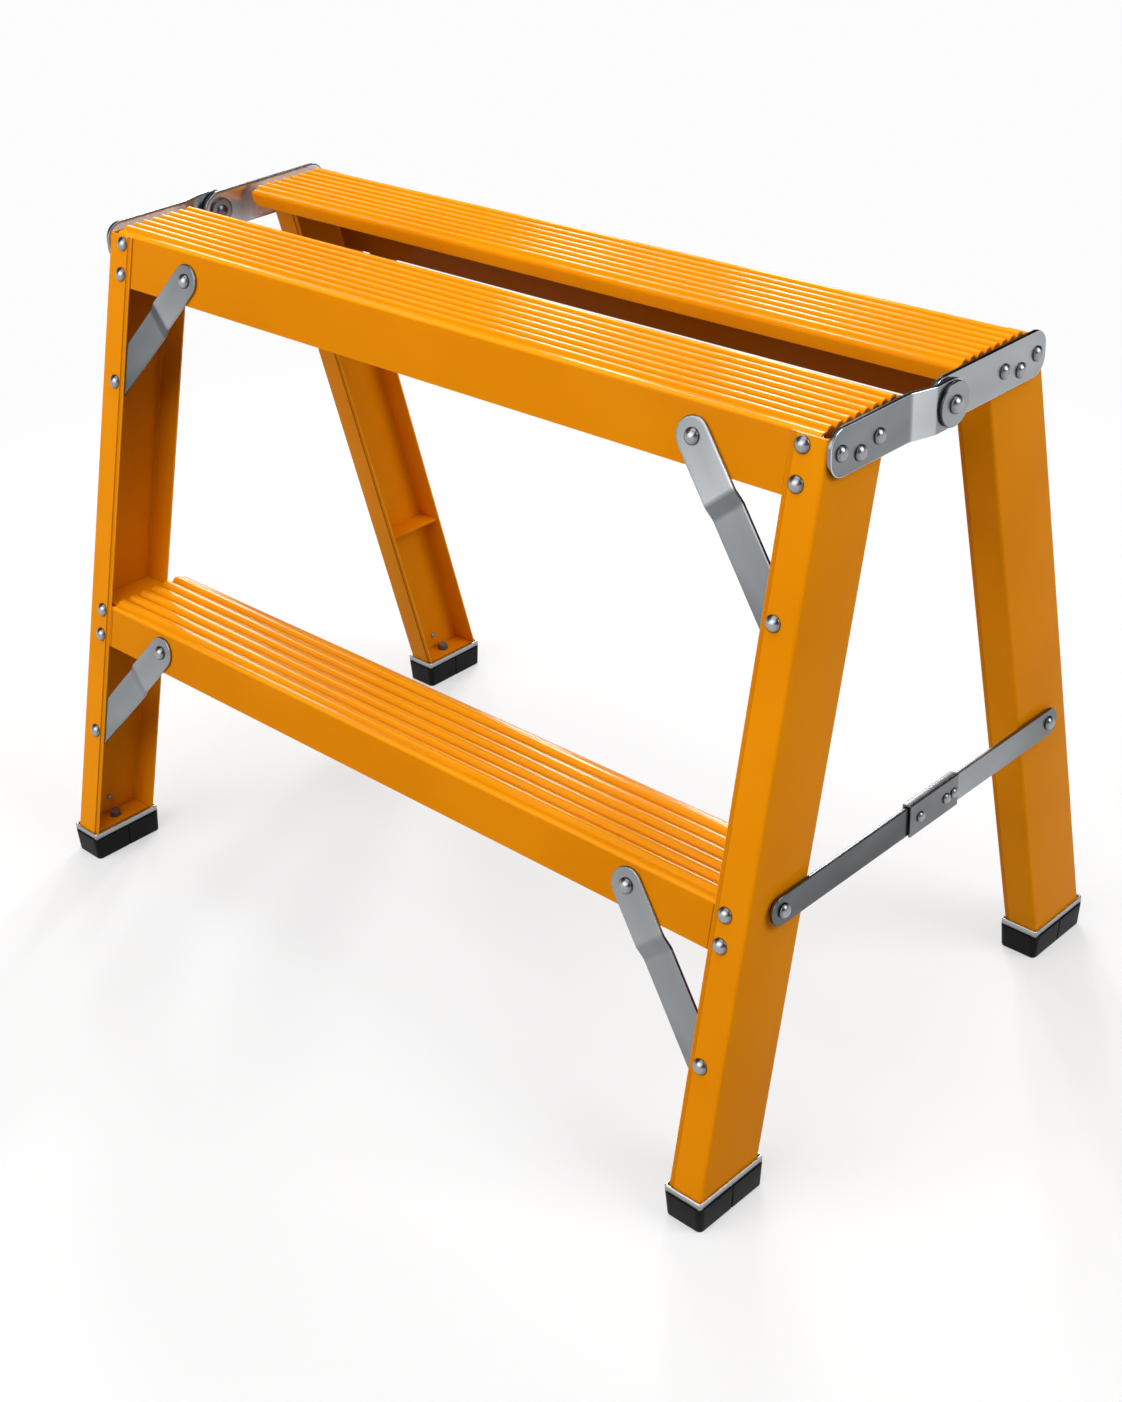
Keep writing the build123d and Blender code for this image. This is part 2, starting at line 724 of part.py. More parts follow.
front_plank_rivets = placed(plank_rivet, flange_planes(plank_rivets))
front_brace_rivets = brace_rivet_group(brace_upper, brace_lower)
save(front_plank_rivets, "front_plank_rivets")
save(rear_of(front_plank_rivets), "rear_plank_rivets")
save(front_brace_rivets, "front_brace_rivets")
save(rear_of(front_brace_rivets), "rear_brace_rivets")
save(placed(plank_rivet, flange_planes(step_rivets)), "step_rivets")
save(brace_rivet_group(step_brace_upper, step_brace_lower), "step_brace_rivets")

# Fold hinges at both ends
save_sides(hinge_bar(joggle), "front_hinge_bar")
save_sides(rear_of(hinge_bar(0)), "rear_hinge_bar")
bar_rivet_body = rivet_body(bar_rivet, bar_thick + leg_wall)
right_bar_rivets = placed(bar_rivet_body, [web_plane(y, height, bar_thick) for y, height in bar_rivets])


def with_left(part):
    """Right-hand pieces and their left-hand images, as one group."""
    with BuildPart() as pair:
        add(part)
        mirror(part, about=Plane.YZ)
    return pair.part


front_bar_rivets = with_left(right_bar_rivets)
save(front_bar_rivets, "front_hinge_bar_rivets")
save(rear_of(front_bar_rivets), "rear_hinge_bar_rivets")
pin_seat = joggle + bar_thick + disc_thick
pin_grip = pin_seat + run_gap + inner_washer_thick
save(with_left(placed(rivet_body(pin_rivet, pin_grip), [web_plane(0, pivot_z, pin_seat)])), "hinge_pins")
save(with_left(hinge_washers()), "hinge_washers")

# Feet
tray = foot_tray()
rubber = rubber_foot()
plate = floor_plate()
bolts = with_left(foot_bolt())
web_rivet = mirrored(placed(rivet_body(foot_rivet, leg_wall, tail=False), [Plane.XY]), Plane.XY)
web_rivet_seat = Plane(origin=(web_inside, *foot_rivet_place), x_dir=(0, 1, 0), z_dir=(1, 0, 0))
web_rivets = with_left(placed(web_rivet, [web_rivet_seat]))
save_sides(tray, "front_foot_tray")
save_sides(rear_of(tray), "rear_foot_tray")
save_sides(rubber, "front_foot")
save_sides(rear_of(rubber), "rear_foot")
save_sides(plate, "front_floor_plate")
save_sides(rear_of(plate), "rear_floor_plate")
save(bolts, "front_foot_bolts")
save(rear_of(bolts), "rear_foot_bolts")
save(web_rivets, "front_foot_rivets")
save(rear_of(web_rivets), "rear_foot_rivets")

# Stiffener shelves in the rear legs
save_sides(rear_of(leg_shelf()), "rear_leg_shelf")

# Folding stay
stay_out = stay_standoff + stay_thick
washer_thick = stay_standoff - run_gap
front_rivet = rivet_body(stay_rivet, leg_wall + stay_out + run_gap)
front_seat = web_plane(stay_y, stay_height, stay_out + run_gap)
stay_bore = hole_radius(stay_rivet)
front_stay_rivet = placed(front_rivet, [front_seat])
front_stay_washer = ring(stay_washer_width, stay_bore, washer_thick, web_plane(stay_y, stay_height))
with BuildPart() as front_stay_pivot:
    add([front_stay_rivet, front_stay_washer])
save(front_stay_pivot.part, "front_stay_pivot")

with BuildPart() as rear_stay_anchor:
    with BuildSketch(web_plane(-stay_y, stay_height)):
        Circle(stay_washer_width / 2)
    extrude(amount=washer_thick)
    with BuildSketch(web_plane(-stay_y, stay_height)):
        Circle(stay_rivet[2] / 2)
    extrude(amount=-leg_wall)
    with BuildSketch(web_plane(-stay_y, stay_height, -leg_wall)):
        Circle(stay_rivet[0] / 2 * tail_share)
    extrude(amount=-tail_height)
save(rear_stay_anchor.part, "rear_stay_anchor")

rear_rivet = rivet_body(stay_rivet, stay_thick, tail=False)
save(placed(rear_rivet, [web_plane(-stay_y, stay_height, stay_out)]), "rear_stay_rivet")
save(front_stay_bar(), "front_stay_bar")
save(rear_stay_bar(), "rear_stay_bar")
save(stay_sleeve(), "stay_sleeve")

sleeve_out = stay_out + run_gap + sleeve_wall
sleeve_grip = stay_thick + 2 * run_gap + 2 * sleeve_wall
sleeve_rivet_body = rivet_body(sleeve_rivet, sleeve_grip)
sleeve_planes = [web_plane(stay_centre + reach, stay_height, sleeve_out) for reach in sleeve_rivet_reaches]
save(placed(sleeve_rivet_body, [web_plane(stay_centre, stay_height, sleeve_out)]), "stay_centre_pivot")
save(placed(sleeve_rivet_body, sleeve_planes), "stay_sleeve_rivets")
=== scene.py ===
import json
from math import atan, cos, pi, radians, sin, tan
from typing import NamedTuple

import bmesh
import bpy
import numpy as np
from mathutils import Matrix, Vector


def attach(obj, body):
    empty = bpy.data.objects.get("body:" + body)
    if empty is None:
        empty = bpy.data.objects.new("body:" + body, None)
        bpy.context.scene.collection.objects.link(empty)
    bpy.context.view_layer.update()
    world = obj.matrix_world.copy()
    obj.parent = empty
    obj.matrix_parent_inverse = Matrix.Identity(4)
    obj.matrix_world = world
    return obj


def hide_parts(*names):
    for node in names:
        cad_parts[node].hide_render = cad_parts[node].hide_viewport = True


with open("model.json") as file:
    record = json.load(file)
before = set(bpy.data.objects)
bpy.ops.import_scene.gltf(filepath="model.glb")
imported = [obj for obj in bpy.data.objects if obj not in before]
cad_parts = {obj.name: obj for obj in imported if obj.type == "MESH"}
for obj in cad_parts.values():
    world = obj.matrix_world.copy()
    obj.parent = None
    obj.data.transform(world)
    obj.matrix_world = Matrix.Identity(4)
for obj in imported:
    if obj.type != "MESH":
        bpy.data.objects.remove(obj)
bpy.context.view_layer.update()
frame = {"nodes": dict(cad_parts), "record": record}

bl_info = {
    "name": "Sawhorse Ladder",
    "version": (1, 0, 0),
    "blender": (4, 5, 0),
    "location": "View3D > Sidebar > Sawhorse",
    "description": "Builds the painted, plated and rubber pieces of a folding sawhorse on its CAD frame",
    "category": "Object",
}

MM = 0.001
SIDES = ("front", "rear")
ENDS = ("right", "left")


# Settings


def linear(code):
    """Linear RGB of an sRGB hex colour: the sRGB curve undone channel by channel."""
    srgb = np.array([int(code[i : i + 2], 16) for i in (1, 3, 5)]) / 255
    curved = ((srgb + 0.055) / 1.055) ** 2.4
    return tuple(np.where(srgb <= 0.04045, srgb / 12.92, curved).tolist())


def length_property(name, millimetres, description):
    """A length that a user may change, stored in metres."""
    metres = millimetres * MM
    return bpy.props.FloatProperty(name=name, description=description, default=metres, unit="LENGTH")


def angle_property(name, degrees, description):
    """An angle that a user may change, stored in radians."""
    turn = radians(degrees)
    return bpy.props.FloatProperty(name=name, description=description, default=turn, subtype="ANGLE")


def colour_property(name, code, description):
    """A colour that a user may change, stored as linear RGB."""
    return bpy.props.FloatVectorProperty(
        name=name, description=description, default=linear(code), size=3, min=0.0, max=1.0, subtype="COLOR"
    )


class SawhorseSizes(bpy.types.PropertyGroup):
    """Sizes of the sawhorse, the same as in its CAD frame."""

    tread: length_property("Tread height", 600, "Floor to the crests of the plank ribs")
    half_length: length_property("Half length", 400, "Middle to the outer face of a leg web")
    half_width: length_property("Half top width", 125, "Fold axis to the legs' outer face at tread height")
    lean: angle_property("Lean", 13.4, "Legs from the vertical")
    plank_gap: length_property("Plank gap", 64, "Open gap between the planks")
    leg_depth: length_property("Leg depth", 67.5, "Front to rear face of a leg, square to it")
    leg_flange: length_property("Leg flange", 31, "Width of a leg flange over the web")
    leg_wall: length_property("Leg wall", 2.5, "Wall of the leg channel")
    sheet: length_property("Sheet", 2, "Thickness of the ribbed sheets")
    rib_height: length_property("Rib height", 3, "Valley to crest of a rib")
    step_tread: length_property("Step height", 260, "Floor to the crests of the step ribs")
    edge: length_property("Plate edge", 0.9, "Rounding of the plated bars' edges")
    paint_edge: length_property("Paint edge", 0.45, "Rounding of painted sheet edges")


class SawhorseFinishes(bpy.types.PropertyGroup):
    """Colours of the sawhorse's materials."""

    paint: colour_property("Paint", "#F09308", "Orange gloss enamel")
    paint_deep: colour_property("Deep paint", "#E88B05", "Enamel where it lies a little thicker")
    # Painted shade: darker enamel put where shade falls in rib valleys, seams, undersides, lips and leg
    # insides
    paint_shade: colour_property("Painted shade", "#9A4F02", "Darker enamel painted where shade falls")
    # Painted highlight: brighter enamel put where highlights fall on free edges, bends and rib shoulders,
    # and over the step's ribs
    paint_highlight: colour_property("Painted highlight", "#FFB02A", "Brighter enamel painted where highlights fall")
    zinc: colour_property("Zinc", "#969A9D", "Zinc plating on the flat bars")
    rivet: colour_property("Rivet", "#86878A", "Plated steel of the rivets")
    tray: colour_property("Tray", "#9FA2A5", "Plated steel of the foot trays")
    # Painted shade on plated parts: rims, seams, washer and rivet rims, the stay and its sleeve
    steel_shade: colour_property("Dark steel", "#2C2E31", "Painted shade on the plating")
    # Painted highlight and painted reflection on plated parts: bright edges, joggle slopes, rivet tops,
    # tray rims and the pale inner faces of the left hinge bars
    steel_highlight: colour_property("Bright steel", "#DDE0E2", "Painted highlight and reflection on the plating")
    rubber: colour_property("Rubber", "#0B0B0C", "Moulded rubber of the feet")
    floor: colour_property("Floor", "#AFAFAF", "Floor under the sawhorse")
    floor_bounce: colour_property("Floor bounce", "#949494", "Light that the floor throws back")


class SawhorseView(bpy.types.PropertyGroup):
    """Camera of the stage."""

    azimuth: angle_property("Azimuth", 47.2535, "Camera round the object from the front")
    elevation: angle_property("Elevation", 28.3347, "Camera above the horizon")
    roll: angle_property("Roll", -3.7423, "Camera turned about its own axis")
    place: bpy.props.FloatVectorProperty(
        name="Place",
        description="Camera position",
        default=(1.16382, -1.16155, 1.13111),
        subtype="TRANSLATION",
    )
    lens: bpy.props.FloatProperty(name="Lens", description="Focal length in millimetres", default=53.63)
    shift: bpy.props.FloatVectorProperty(
        name="Shift",
        description="Lens shift as a share of the long side",
        default=(0.06305, -0.02864),
        size=2,
    )


# Surfaces as arrays


SAME_POINT = 1e-7  # metres; points of a path nearer than this are one


def rounded_path(corners, radii, steps=6, closed=False):
    """Polyline whose corners are arcs: each arc's centre lies on the corner's bisector, and its points turn
    evenly from one tangent point to the other. An open path keeps its two ends."""
    points = np.asarray(corners, float)
    radii = np.broadcast_to(np.asarray(radii, float), (len(points) if closed else len(points) - 2,))
    if closed:
        before, here, after = np.roll(points, 1, 0), points, np.roll(points, -1, 0)
    else:
        before, here, after = points[:-2], points[1:-1], points[2:]
    back = before - here
    ahead = after - here
    back /= np.linalg.norm(back, axis=1, keepdims=True)
    ahead /= np.linalg.norm(ahead, axis=1, keepdims=True)
    half = np.arccos(np.clip((back * ahead).sum(1), -1, 1)) / 2
    bisector = back + ahead
    bisector /= np.linalg.norm(bisector, axis=1, keepdims=True)
    centre = here + bisector * (radii / np.sin(half))[:, None]
    reach = (radii / np.tan(half))[:, None]
    first = (here + back * reach - centre)[:, None]
    last = (here + ahead * reach - centre)[:, None]
    sweep = (pi - 2 * half)[:, None, None]
    share = np.linspace(0, 1, steps)[None, :, None]
    arc = (np.sin((1 - share) * sweep) * first + np.sin(share * sweep) * last) / np.sin(sweep)
    path = (centre[:, None] + arc).reshape(-1, 2)
    return path if closed else np.concatenate([points[:1], path, points[-1:]])


def densify(path, step):
    """The same closed outline with extra points no further than a step apart along its straight runs."""
    path = np.concatenate([path, path[:1]])
    run = np.concatenate([[0], np.cumsum(np.linalg.norm(np.diff(path, axis=0), axis=1))])
    keep = np.concatenate([[True], np.diff(run) > SAME_POINT])
    path, run = path[keep], run[keep]
    marks = np.union1d(run, np.arange(0, run[-1], step))
    marks = marks[np.concatenate([[True], np.diff(marks) > SAME_POINT])]
    return np.stack([np.interp(marks, run, path[:, 0]), np.interp(marks, run, path[:, 1])], 1)[:-1]


def outward(outline):
    """Unit normals out of a closed outline: each tangent turned a quarter to the outside."""
    tangent = np.roll(outline, -1, 0) - np.roll(outline, 1, 0)
    tangent /= np.linalg.norm(tangent, axis=1, keepdims=True)
    x, y = outline.T
    turn = np.sign((x * np.roll(y, -1) - np.roll(x, -1) * y).sum())
    return np.stack([tangent[:, 1], -tangent[:, 0]], 1) * turn


def carried(chain, stations):
    """A chain of two coordinates carried along a third: [station, point, (station, first, second)]."""
    shape = (len(stations), len(chain))
    columns = (np.asarray(stations)[:, None], *chain.T)
    return np.stack([np.broadcast_to(column, shape) for column in columns], 2)


def grid_faces(rows, columns, loop_rows, loop_columns):
    """Quads between neighbours of a grid of points; a looped direction joins its last line to its first."""
    row = np.arange(rows if loop_rows else rows - 1)[:, None]
    column = np.arange(columns if loop_columns else columns - 1)[None, :]
    next_row = (row + 1) % rows
    next_column = (column + 1) % columns
    corners = [row * columns + column, next_row * columns + column]
    corners += [next_row * columns + next_column, row * columns + next_column]
    return np.stack(np.broadcast_arrays(*corners), -1).reshape(-1, 4)


class Shells:
    """Closed surfaces collected as arrays for one mesh, with the local coordinates that their patterns
    follow and a tone at each point, which paints shade and highlights: 0 for the plain finish, -1 for its
    darkest, 1 for its brightest."""

    def __init__(self):
        self.points = np.empty((0, 3))
        self.grain = np.empty((0, 3))
        self.tone = np.empty(0)
        self.quads = np.empty((0, 4), int)
        self.caps = []

    def add(self, points, quads, grain=None, tone=0.0, caps=()):
        """Take in points, the quads between them and any flat end faces."""
        start = len(self.points)
        tone = np.broadcast_to(tone, points.shape[:-1]).ravel()
        points = points.reshape(-1, 3)
        self.points = np.concatenate([self.points, points])
        self.grain = np.concatenate([self.grain, points if grain is None else grain.reshape(-1, 3)])
        self.tone = np.concatenate([self.tone, tone])
        self.quads = np.concatenate([self.quads, quads + start])
        self.caps += [np.asarray(cap) + start for cap in caps]

    def spun(self, points, grain=None, tone=0.0):
        """Take in a grid of points [row, column, xyz] whose last row joins its first."""
        rows, columns = points.shape[:2]
        self.add(points, grid_faces(rows, columns, True, False), grain, tone)

    def strip(self, outer, inner, tone=0.0, inner_tone=0.0):
        """Take in a bent sheet as stations of an outer and an inner chain [station, point, xyz]."""
        stations, length = outer.shape[:2]
        loop = np.concatenate([outer, inner[:, ::-1]], 1)
        tones = [np.broadcast_to(each, (stations, length)) for each in (tone, inner_tone)]
        quads = grid_faces(stations, 2 * length, False, True)
        chain = np.arange(length - 1)
        cap = np.stack([chain, chain + 1, 2 * length - 2 - chain, 2 * length - 1 - chain], 1)
        last = (stations - 1) * 2 * length
        quads = np.concatenate([quads, cap, cap[:, ::-1] + last])
        self.add(loop, quads, tone=np.concatenate([tones[0], tones[1][:, ::-1]], 1))

    def rings(self, rings, tone=0.0):
        """Take in a stack of closed rings [ring, point, xyz] with flat ends."""
        count, length = rings.shape[:2]
        ends = (np.arange(length), np.arange((count - 1) * length, count * length))
        self.add(rings, grid_faces(count, length, False, True), tone=tone, caps=ends)


def joined(*several):
    """Several sets of shells as one."""
    whole = Shells()
    for shells in several:
        whole.add(shells.points, shells.quads, shells.grain, shells.tone, shells.caps)
    return whole


def mirrored(shells, axis):
    """The same shells on the other side of the middle plane across an axis."""
    sign = np.ones(3)
    sign[axis] = -1
    image = Shells()
    image.add(shells.points * sign, shells.quads, shells.grain, shells.tone, shells.caps)
    return image


def both_ends(right):
    """Right-hand shells together with their image at the left end."""
    return joined(right, mirrored(right, 0))


def moved_to(shells, side, end="right"):
    """Shells made for the right end of the front half, mirrored to a side and an end."""
    if end == "left":
        shells = mirrored(shells, 0)
    return mirrored(shells, 1) if side == "rear" else shells


FACE_SHARES = np.array([0.0, 0.5, 0.9])  # points of a plate's face, from its spine towards its edge
ARC_POINTS = 5  # points of each quarter arc round a plate's edge
RIM_START = len(FACE_SHARES)  # first column of a plate's profile on its rim
RIM_STOP = RIM_START + 2 * ARC_POINTS  # first column on its front face
BAR_STEP = 2 * MM  # spacing of points along a bar
END_AXES = ((0, 1, 0), (0, 0, 1), (1, 0, 0))  # along, across and out at the right-hand end


def plate(outline, spine, thickness, edge, joggle=None):
    """Flat plate with rounded edges, in local coordinates: every outline point carries a profile that
    starts on the spine at the back, runs out over the back face, turns round the edge in two quarter arcs
    and returns to the spine over the front face. A joggle shifts both faces outwards along the plate."""
    normal = outward(outline)
    foot = np.stack([np.clip(outline[:, 0], *spine), np.zeros(len(outline))], 1)
    inner = outline - normal * edge
    turn = np.linspace(0, pi / 2, ARC_POINTS)
    face = np.zeros(len(FACE_SHARES))
    share = np.concatenate([FACE_SHARES, np.ones(2 * ARC_POINTS), FACE_SHARES[::-1]])
    beyond = np.concatenate([face, edge * np.sin(turn), edge * np.cos(turn), face])
    back_arc = edge * (1 - np.cos(turn))
    front_arc = thickness - edge * (1 - np.sin(turn))
    rise = np.concatenate([face, back_arc, front_arc, face + thickness])
    flat = foot[:, None] + (inner - foot)[:, None] * share[:, None] + normal[:, None] * beyond[:, None]
    height = np.broadcast_to(rise, flat.shape[:2])
    if joggle is not None:
        height = height + joggle(flat[..., 0])
    return np.concatenate([flat, height[..., None]], 2)


def set_plate(local, origin, axes, tone=0.0):
    """A plate put in place: its local coordinates count along three axes from an origin, and stay with it
    as the grain of its metal."""
    shells = Shells()
    shells.spun(np.asarray(origin, float) + local @ np.array(axes, float), local, tone)
    return shells


def half_turn(middle, radius, start, points=17):
    """Half a circle of points about a place on a bar's middle line, from a starting angle."""
    turn = start + np.linspace(0, pi, points)
    return np.stack([middle + radius * np.cos(turn), radius * np.sin(turn)], 1)


def slot_outline(start, stop, radius):
    """Outline of a bar with two round ends about places on its middle line."""
    return np.concatenate([half_turn(stop, radius, -pi / 2), half_turn(start, radius, pi / 2)])


def ramp_between(start, stop, first, last, bend):
    """Value that goes evenly from a first to a last one between two places along a bar. Each bend goes
    through three points of a parabola, the middle one a quarter of the bend's rise off the level."""
    change = last - first
    rise = change / (stop - start) * bend
    places = [start - bend, start, start + bend, stop - bend, stop, stop + bend]
    values = first + np.array([0, rise / 4, rise, change - rise, change - rise / 4, change])
    return lambda along: np.interp(along, places, values)


def turned(profile, seats, out, steps=28):
    """Profile of (radius, height) turned about one direction, which isn't upright, at each seat. The points
    are [seat, angle, point, xyz]."""
    out = np.asarray(out, float)
    side = np.cross((0, 0, 1), out)
    side /= np.linalg.norm(side)
    angle = np.linspace(0, 2 * pi, steps, endpoint=False)[:, None]
    radial = np.cos(angle) * side + np.sin(angle) * np.cross(out, side)
    radius, height = profile.T
    spun = radial[:, None] * radius[:, None] + out * height[:, None]
    return np.asarray(seats, float)[:, None, None] + spun


# Shape of the frame


def sizes():
    """The sizes in the scene."""
    return bpy.context.scene.sawhorse_sizes


def face_y(height, depth=0.0):
    """Y of a plane at a depth behind the front legs' front face, which leans out towards the floor."""
    s = sizes()
    return -(s.half_width + (s.tread - height) * tan(s.lean)) + depth / cos(s.lean)


def face_point(x, height, depth=0.0):
    """Point at a depth square to the front face of the front legs."""
    s = sizes()
    return np.array([x, face_y(height) + depth * cos(s.lean), height - depth * sin(s.lean)])


def face_out():
    """Outward normal of the front face of the front legs."""
    s = sizes()
    return np.array([0, -cos(s.lean), sin(s.lean)])


LEG_TOP_DROP = 4.5 * MM
LEG_END = 25.5 * MM
LEG_BEND = 2 * MM
LEG_CORNER = 3 * MM
FLANGE_STRIP = 4 * MM  # set-back strip along the free edge of a flange
FLANGE_STEP = 1 * MM
FLANGE_SLOPE = 0.3 * MM
SHADE_LINE = 0.7 * MM
LEG_ARC_POINTS = 7
LEG_EDGE_HIGHLIGHT = 0.5  # painted highlights on a leg's free edges, outside and inside
LEG_INNER_EDGE_HIGHLIGHT = 0.7
# painted shade on the edge strip, and darker in the corner beside it
STRIP_SHADE = -0.3
STRIP_CORNER_SHADE = -0.6
# painted shade inside the front legs, under the planks
LEG_INSIDE_SHADES = {"front": -0.75, "rear": 0.0}
LEG_INSIDE_SHADE_SHARES = np.array([[0], [0.1], [1]])  # how much of that painted shade shows at the floor, the step and the top


def leg_shells(inside_shade):
    """Right-hand front leg: a C section as an outer and an inner chain at three stations, the tray, the
    step and the top; the chains end lower where the plank's tread lies on the rear flange. Shade is painted
    on each edge strip and darker in the corner beside it, highlights on the free edges, and the inside has
    its own painted shade towards the top."""
    s = sizes()
    web = s.half_length
    edge = web - s.leg_flange
    strip = edge + FLANGE_STRIP
    slope = strip + FLANGE_SLOPE
    depth, wall = s.leg_depth, s.leg_wall
    inside = web - wall
    marks = np.array([edge, edge + SHADE_LINE, strip - SHADE_LINE, strip, slope, slope + SHADE_LINE])
    shade = np.array([LEG_EDGE_HIGHLIGHT, STRIP_SHADE, STRIP_SHADE, STRIP_CORNER_SHADE, STRIP_CORNER_SHADE, 0])
    glint = np.array([LEG_INNER_EDGE_HIGHLIGHT, 0, 0, 0, 0, 0])
    step = np.where(marks < slope, FLANGE_STEP, 0)
    corners = [(slope, 0), (web, 0), (web, depth), (slope, depth)]
    bent = rounded_path(corners, LEG_CORNER, LEG_ARC_POINTS)[1:-1]
    last = np.stack([marks, depth - step], 1)[::-1]
    outer = np.concatenate([np.stack([marks, step], 1), bent, last])
    corners = [(slope, wall), (inside, wall), (inside, depth - wall), (slope, depth - wall)]
    bent = rounded_path(corners, LEG_BEND, LEG_ARC_POINTS)[1:-1]
    first = np.stack([marks, np.full(len(marks), wall)], 1)
    inner = np.concatenate([first, bent, first[::-1] + [0, depth - 2 * wall]])
    web_tone = np.zeros(len(bent))
    tone = np.concatenate([shade, web_tone, shade[::-1]])
    inner_tone = np.concatenate([glint, web_tone, glint[::-1]]) + inside_shade * LEG_INSIDE_SHADE_SHARES
    top = s.tread - LEG_TOP_DROP
    notch = s.tread - s.rib_height - s.sheet
    chains = []
    for x, b in (outer.T, inner.T):
        under_tread = (x < inside - LEG_BEND) & (b > depth / 2)
        levels = (LEG_END, s.step_tread, np.where(under_tread, notch, top))
        z = np.stack([np.broadcast_to(level, x.shape) for level in levels])
        chains.append(np.stack([np.broadcast_to(x, z.shape), face_y(z) + b / cos(s.lean), z], 2))
    shells = Shells()
    shells.strip(*chains, tone, inner_tone)
    return shells


SHEET_BEND = 2 * MM
SHEET_END_GAP = 6 * MM
RIB_FLAT = 0.5 * MM
CREST_SHARE = 0.68  # of the two radii of a wave
LIP_CORNER = 9.5 * MM
VALLEY_POINTS = 5
CREST_POINTS = 13
BEND_POINTS = 8
CORNER_POINTS = 9
APRON_POINTS = 2  # the toe and the start of the bend
STATION_DIGITS = 7  # of a length in metres; stations that agree so far are one
VALLEY_SHADE_POWER = 4  # keeps the painted shade to the bottom of a valley
# painted highlights on the shoulders of the ribs and on the bend over the apron
SHOULDER_PLACES = np.array([0, 3, 4, 5]) / 7  # of the turn from a crest to its valley
SHOULDER_HIGHLIGHTS = (0.05, 0.28, 0.15, 0)
FOLD_PLACES = (2, 4, 6, 8)  # points of the bend over the apron
FOLD_HIGHLIGHTS = (0, 0.45, 0.35, 0.1)
# painted shade, darker down the lip
LIP_SHADE = -0.35
SEAM_PLACES = np.array([2.5, 0.9, 0]) * SHADE_LINE
SEAM_SHADES = (-0.22, -0.9, -0.9)  # painted shade: the first of them all over the apron, the others a dark line in the seam beside the leg flanges
# painted shade under the ribbed sheets and on their turned-down ends
UNDERSIDE_SHADE = -1.0


class RibbedSheet(NamedTuple):
    """Shape of a ribbed sheet, and the look of the paint on its ribs."""

    crest: float  # height of the rib crests
    rear: float  # outer face of the lip
    apron: float  # rib crests to the apron's toe
    lip: float  # rib crests to the lip's edge
    pitch: float  # crest to crest
    flatter: float = 1.0  # factor on the power of the crests
    valley_shade: float = 0.5  # painted shade at the bottom of a valley
    light: float = 0.0  # painted light added all over the ribs


def ribbed_chain(sheet, sink):
    """Top of a ribbed sheet, or its underside when sunk by the sheet's thickness, in the YZ plane, with the
    tone at each point: the apron, a bend, a row of waves, a bend and the lip. A wave has circular valleys
    and a crest that falls by a power of the distance from its middle; before the sheet's factor, the power
    meets the valleys' slope. The tone is painted shade in the valleys and down the lip, and painted
    highlight on the bend and on the shoulders of the ribs."""
    s = sizes()
    pitch, rear = sheet.pitch, sheet.rear
    base = sheet.crest - s.rib_height
    level = base - sink
    toe = sheet.crest - sheet.apron
    corner = face_y(base, s.leg_wall)
    margin = s.sheet + SHEET_BEND + RIB_FLAT
    count = int((rear - corner - 2 * margin) // pitch)
    first = (corner + rear - count * pitch) / 2
    turn = 2 * atan(2 * s.rib_height / pitch)
    radii = pitch / (2 * sin(turn))
    crest_radius = CREST_SHARE * radii
    valley_radius = radii - crest_radius
    out_of = np.linspace(0, turn, VALLEY_POINTS)
    over = np.linspace(-turn, turn, CREST_POINTS + 2)[1:-1]
    drop = crest_radius * (1 - cos(turn))
    power = sheet.flatter * tan(turn) * crest_radius * sin(turn) / drop
    valley_y, valley_z = valley_radius * np.sin(out_of), valley_radius * (1 - np.cos(out_of))
    crest_y = pitch / 2 + crest_radius * np.sin(over)
    crest_z = s.rib_height - drop * np.abs(np.sin(over) / sin(turn)) ** power
    wave_y = np.concatenate([valley_y, crest_y, pitch - valley_y[:0:-1]])
    wave_z = np.concatenate([valley_z, crest_z, valley_z[:0:-1]])
    ribs_y = (first + np.arange(count)[:, None] * pitch + wave_y).ravel()
    ribs_z = np.tile(level + wave_z, count)
    radius = SHEET_BEND + s.sheet - sink
    depth = s.leg_wall + sink
    corners = [(face_y(toe, depth), toe), (face_y(level, depth), level), (first, level)]
    front = rounded_path(corners, radius, BEND_POINTS)[:-1]
    corners = [(first + count * pitch, level), (rear - sink, level), (rear - sink, sheet.crest - sheet.lip)]
    back = rounded_path(corners, radius, BEND_POINTS)
    rib_shading = sheet.light - sheet.valley_shade * (1 - (ribs_z - level) / s.rib_height) ** VALLEY_SHADE_POWER
    rib_shading[: VALLEY_POINTS - 1] = rib_shading[1 - VALLEY_POINTS :] = 0
    shoulders = np.interp(np.abs(over), turn * SHOULDER_PLACES, SHOULDER_HIGHLIGHTS)
    rib_shading += np.tile(np.concatenate([0 * valley_y, shoulders, 0 * valley_y[1:]]), count)
    fold = np.interp(np.arange(len(front)), FOLD_PLACES, FOLD_HIGHLIGHTS)
    tone = np.concatenate([fold, rib_shading, np.linspace(0, LIP_SHADE, len(back))])
    return np.concatenate([front, np.stack([ribs_y, ribs_z], 1), back]), tone


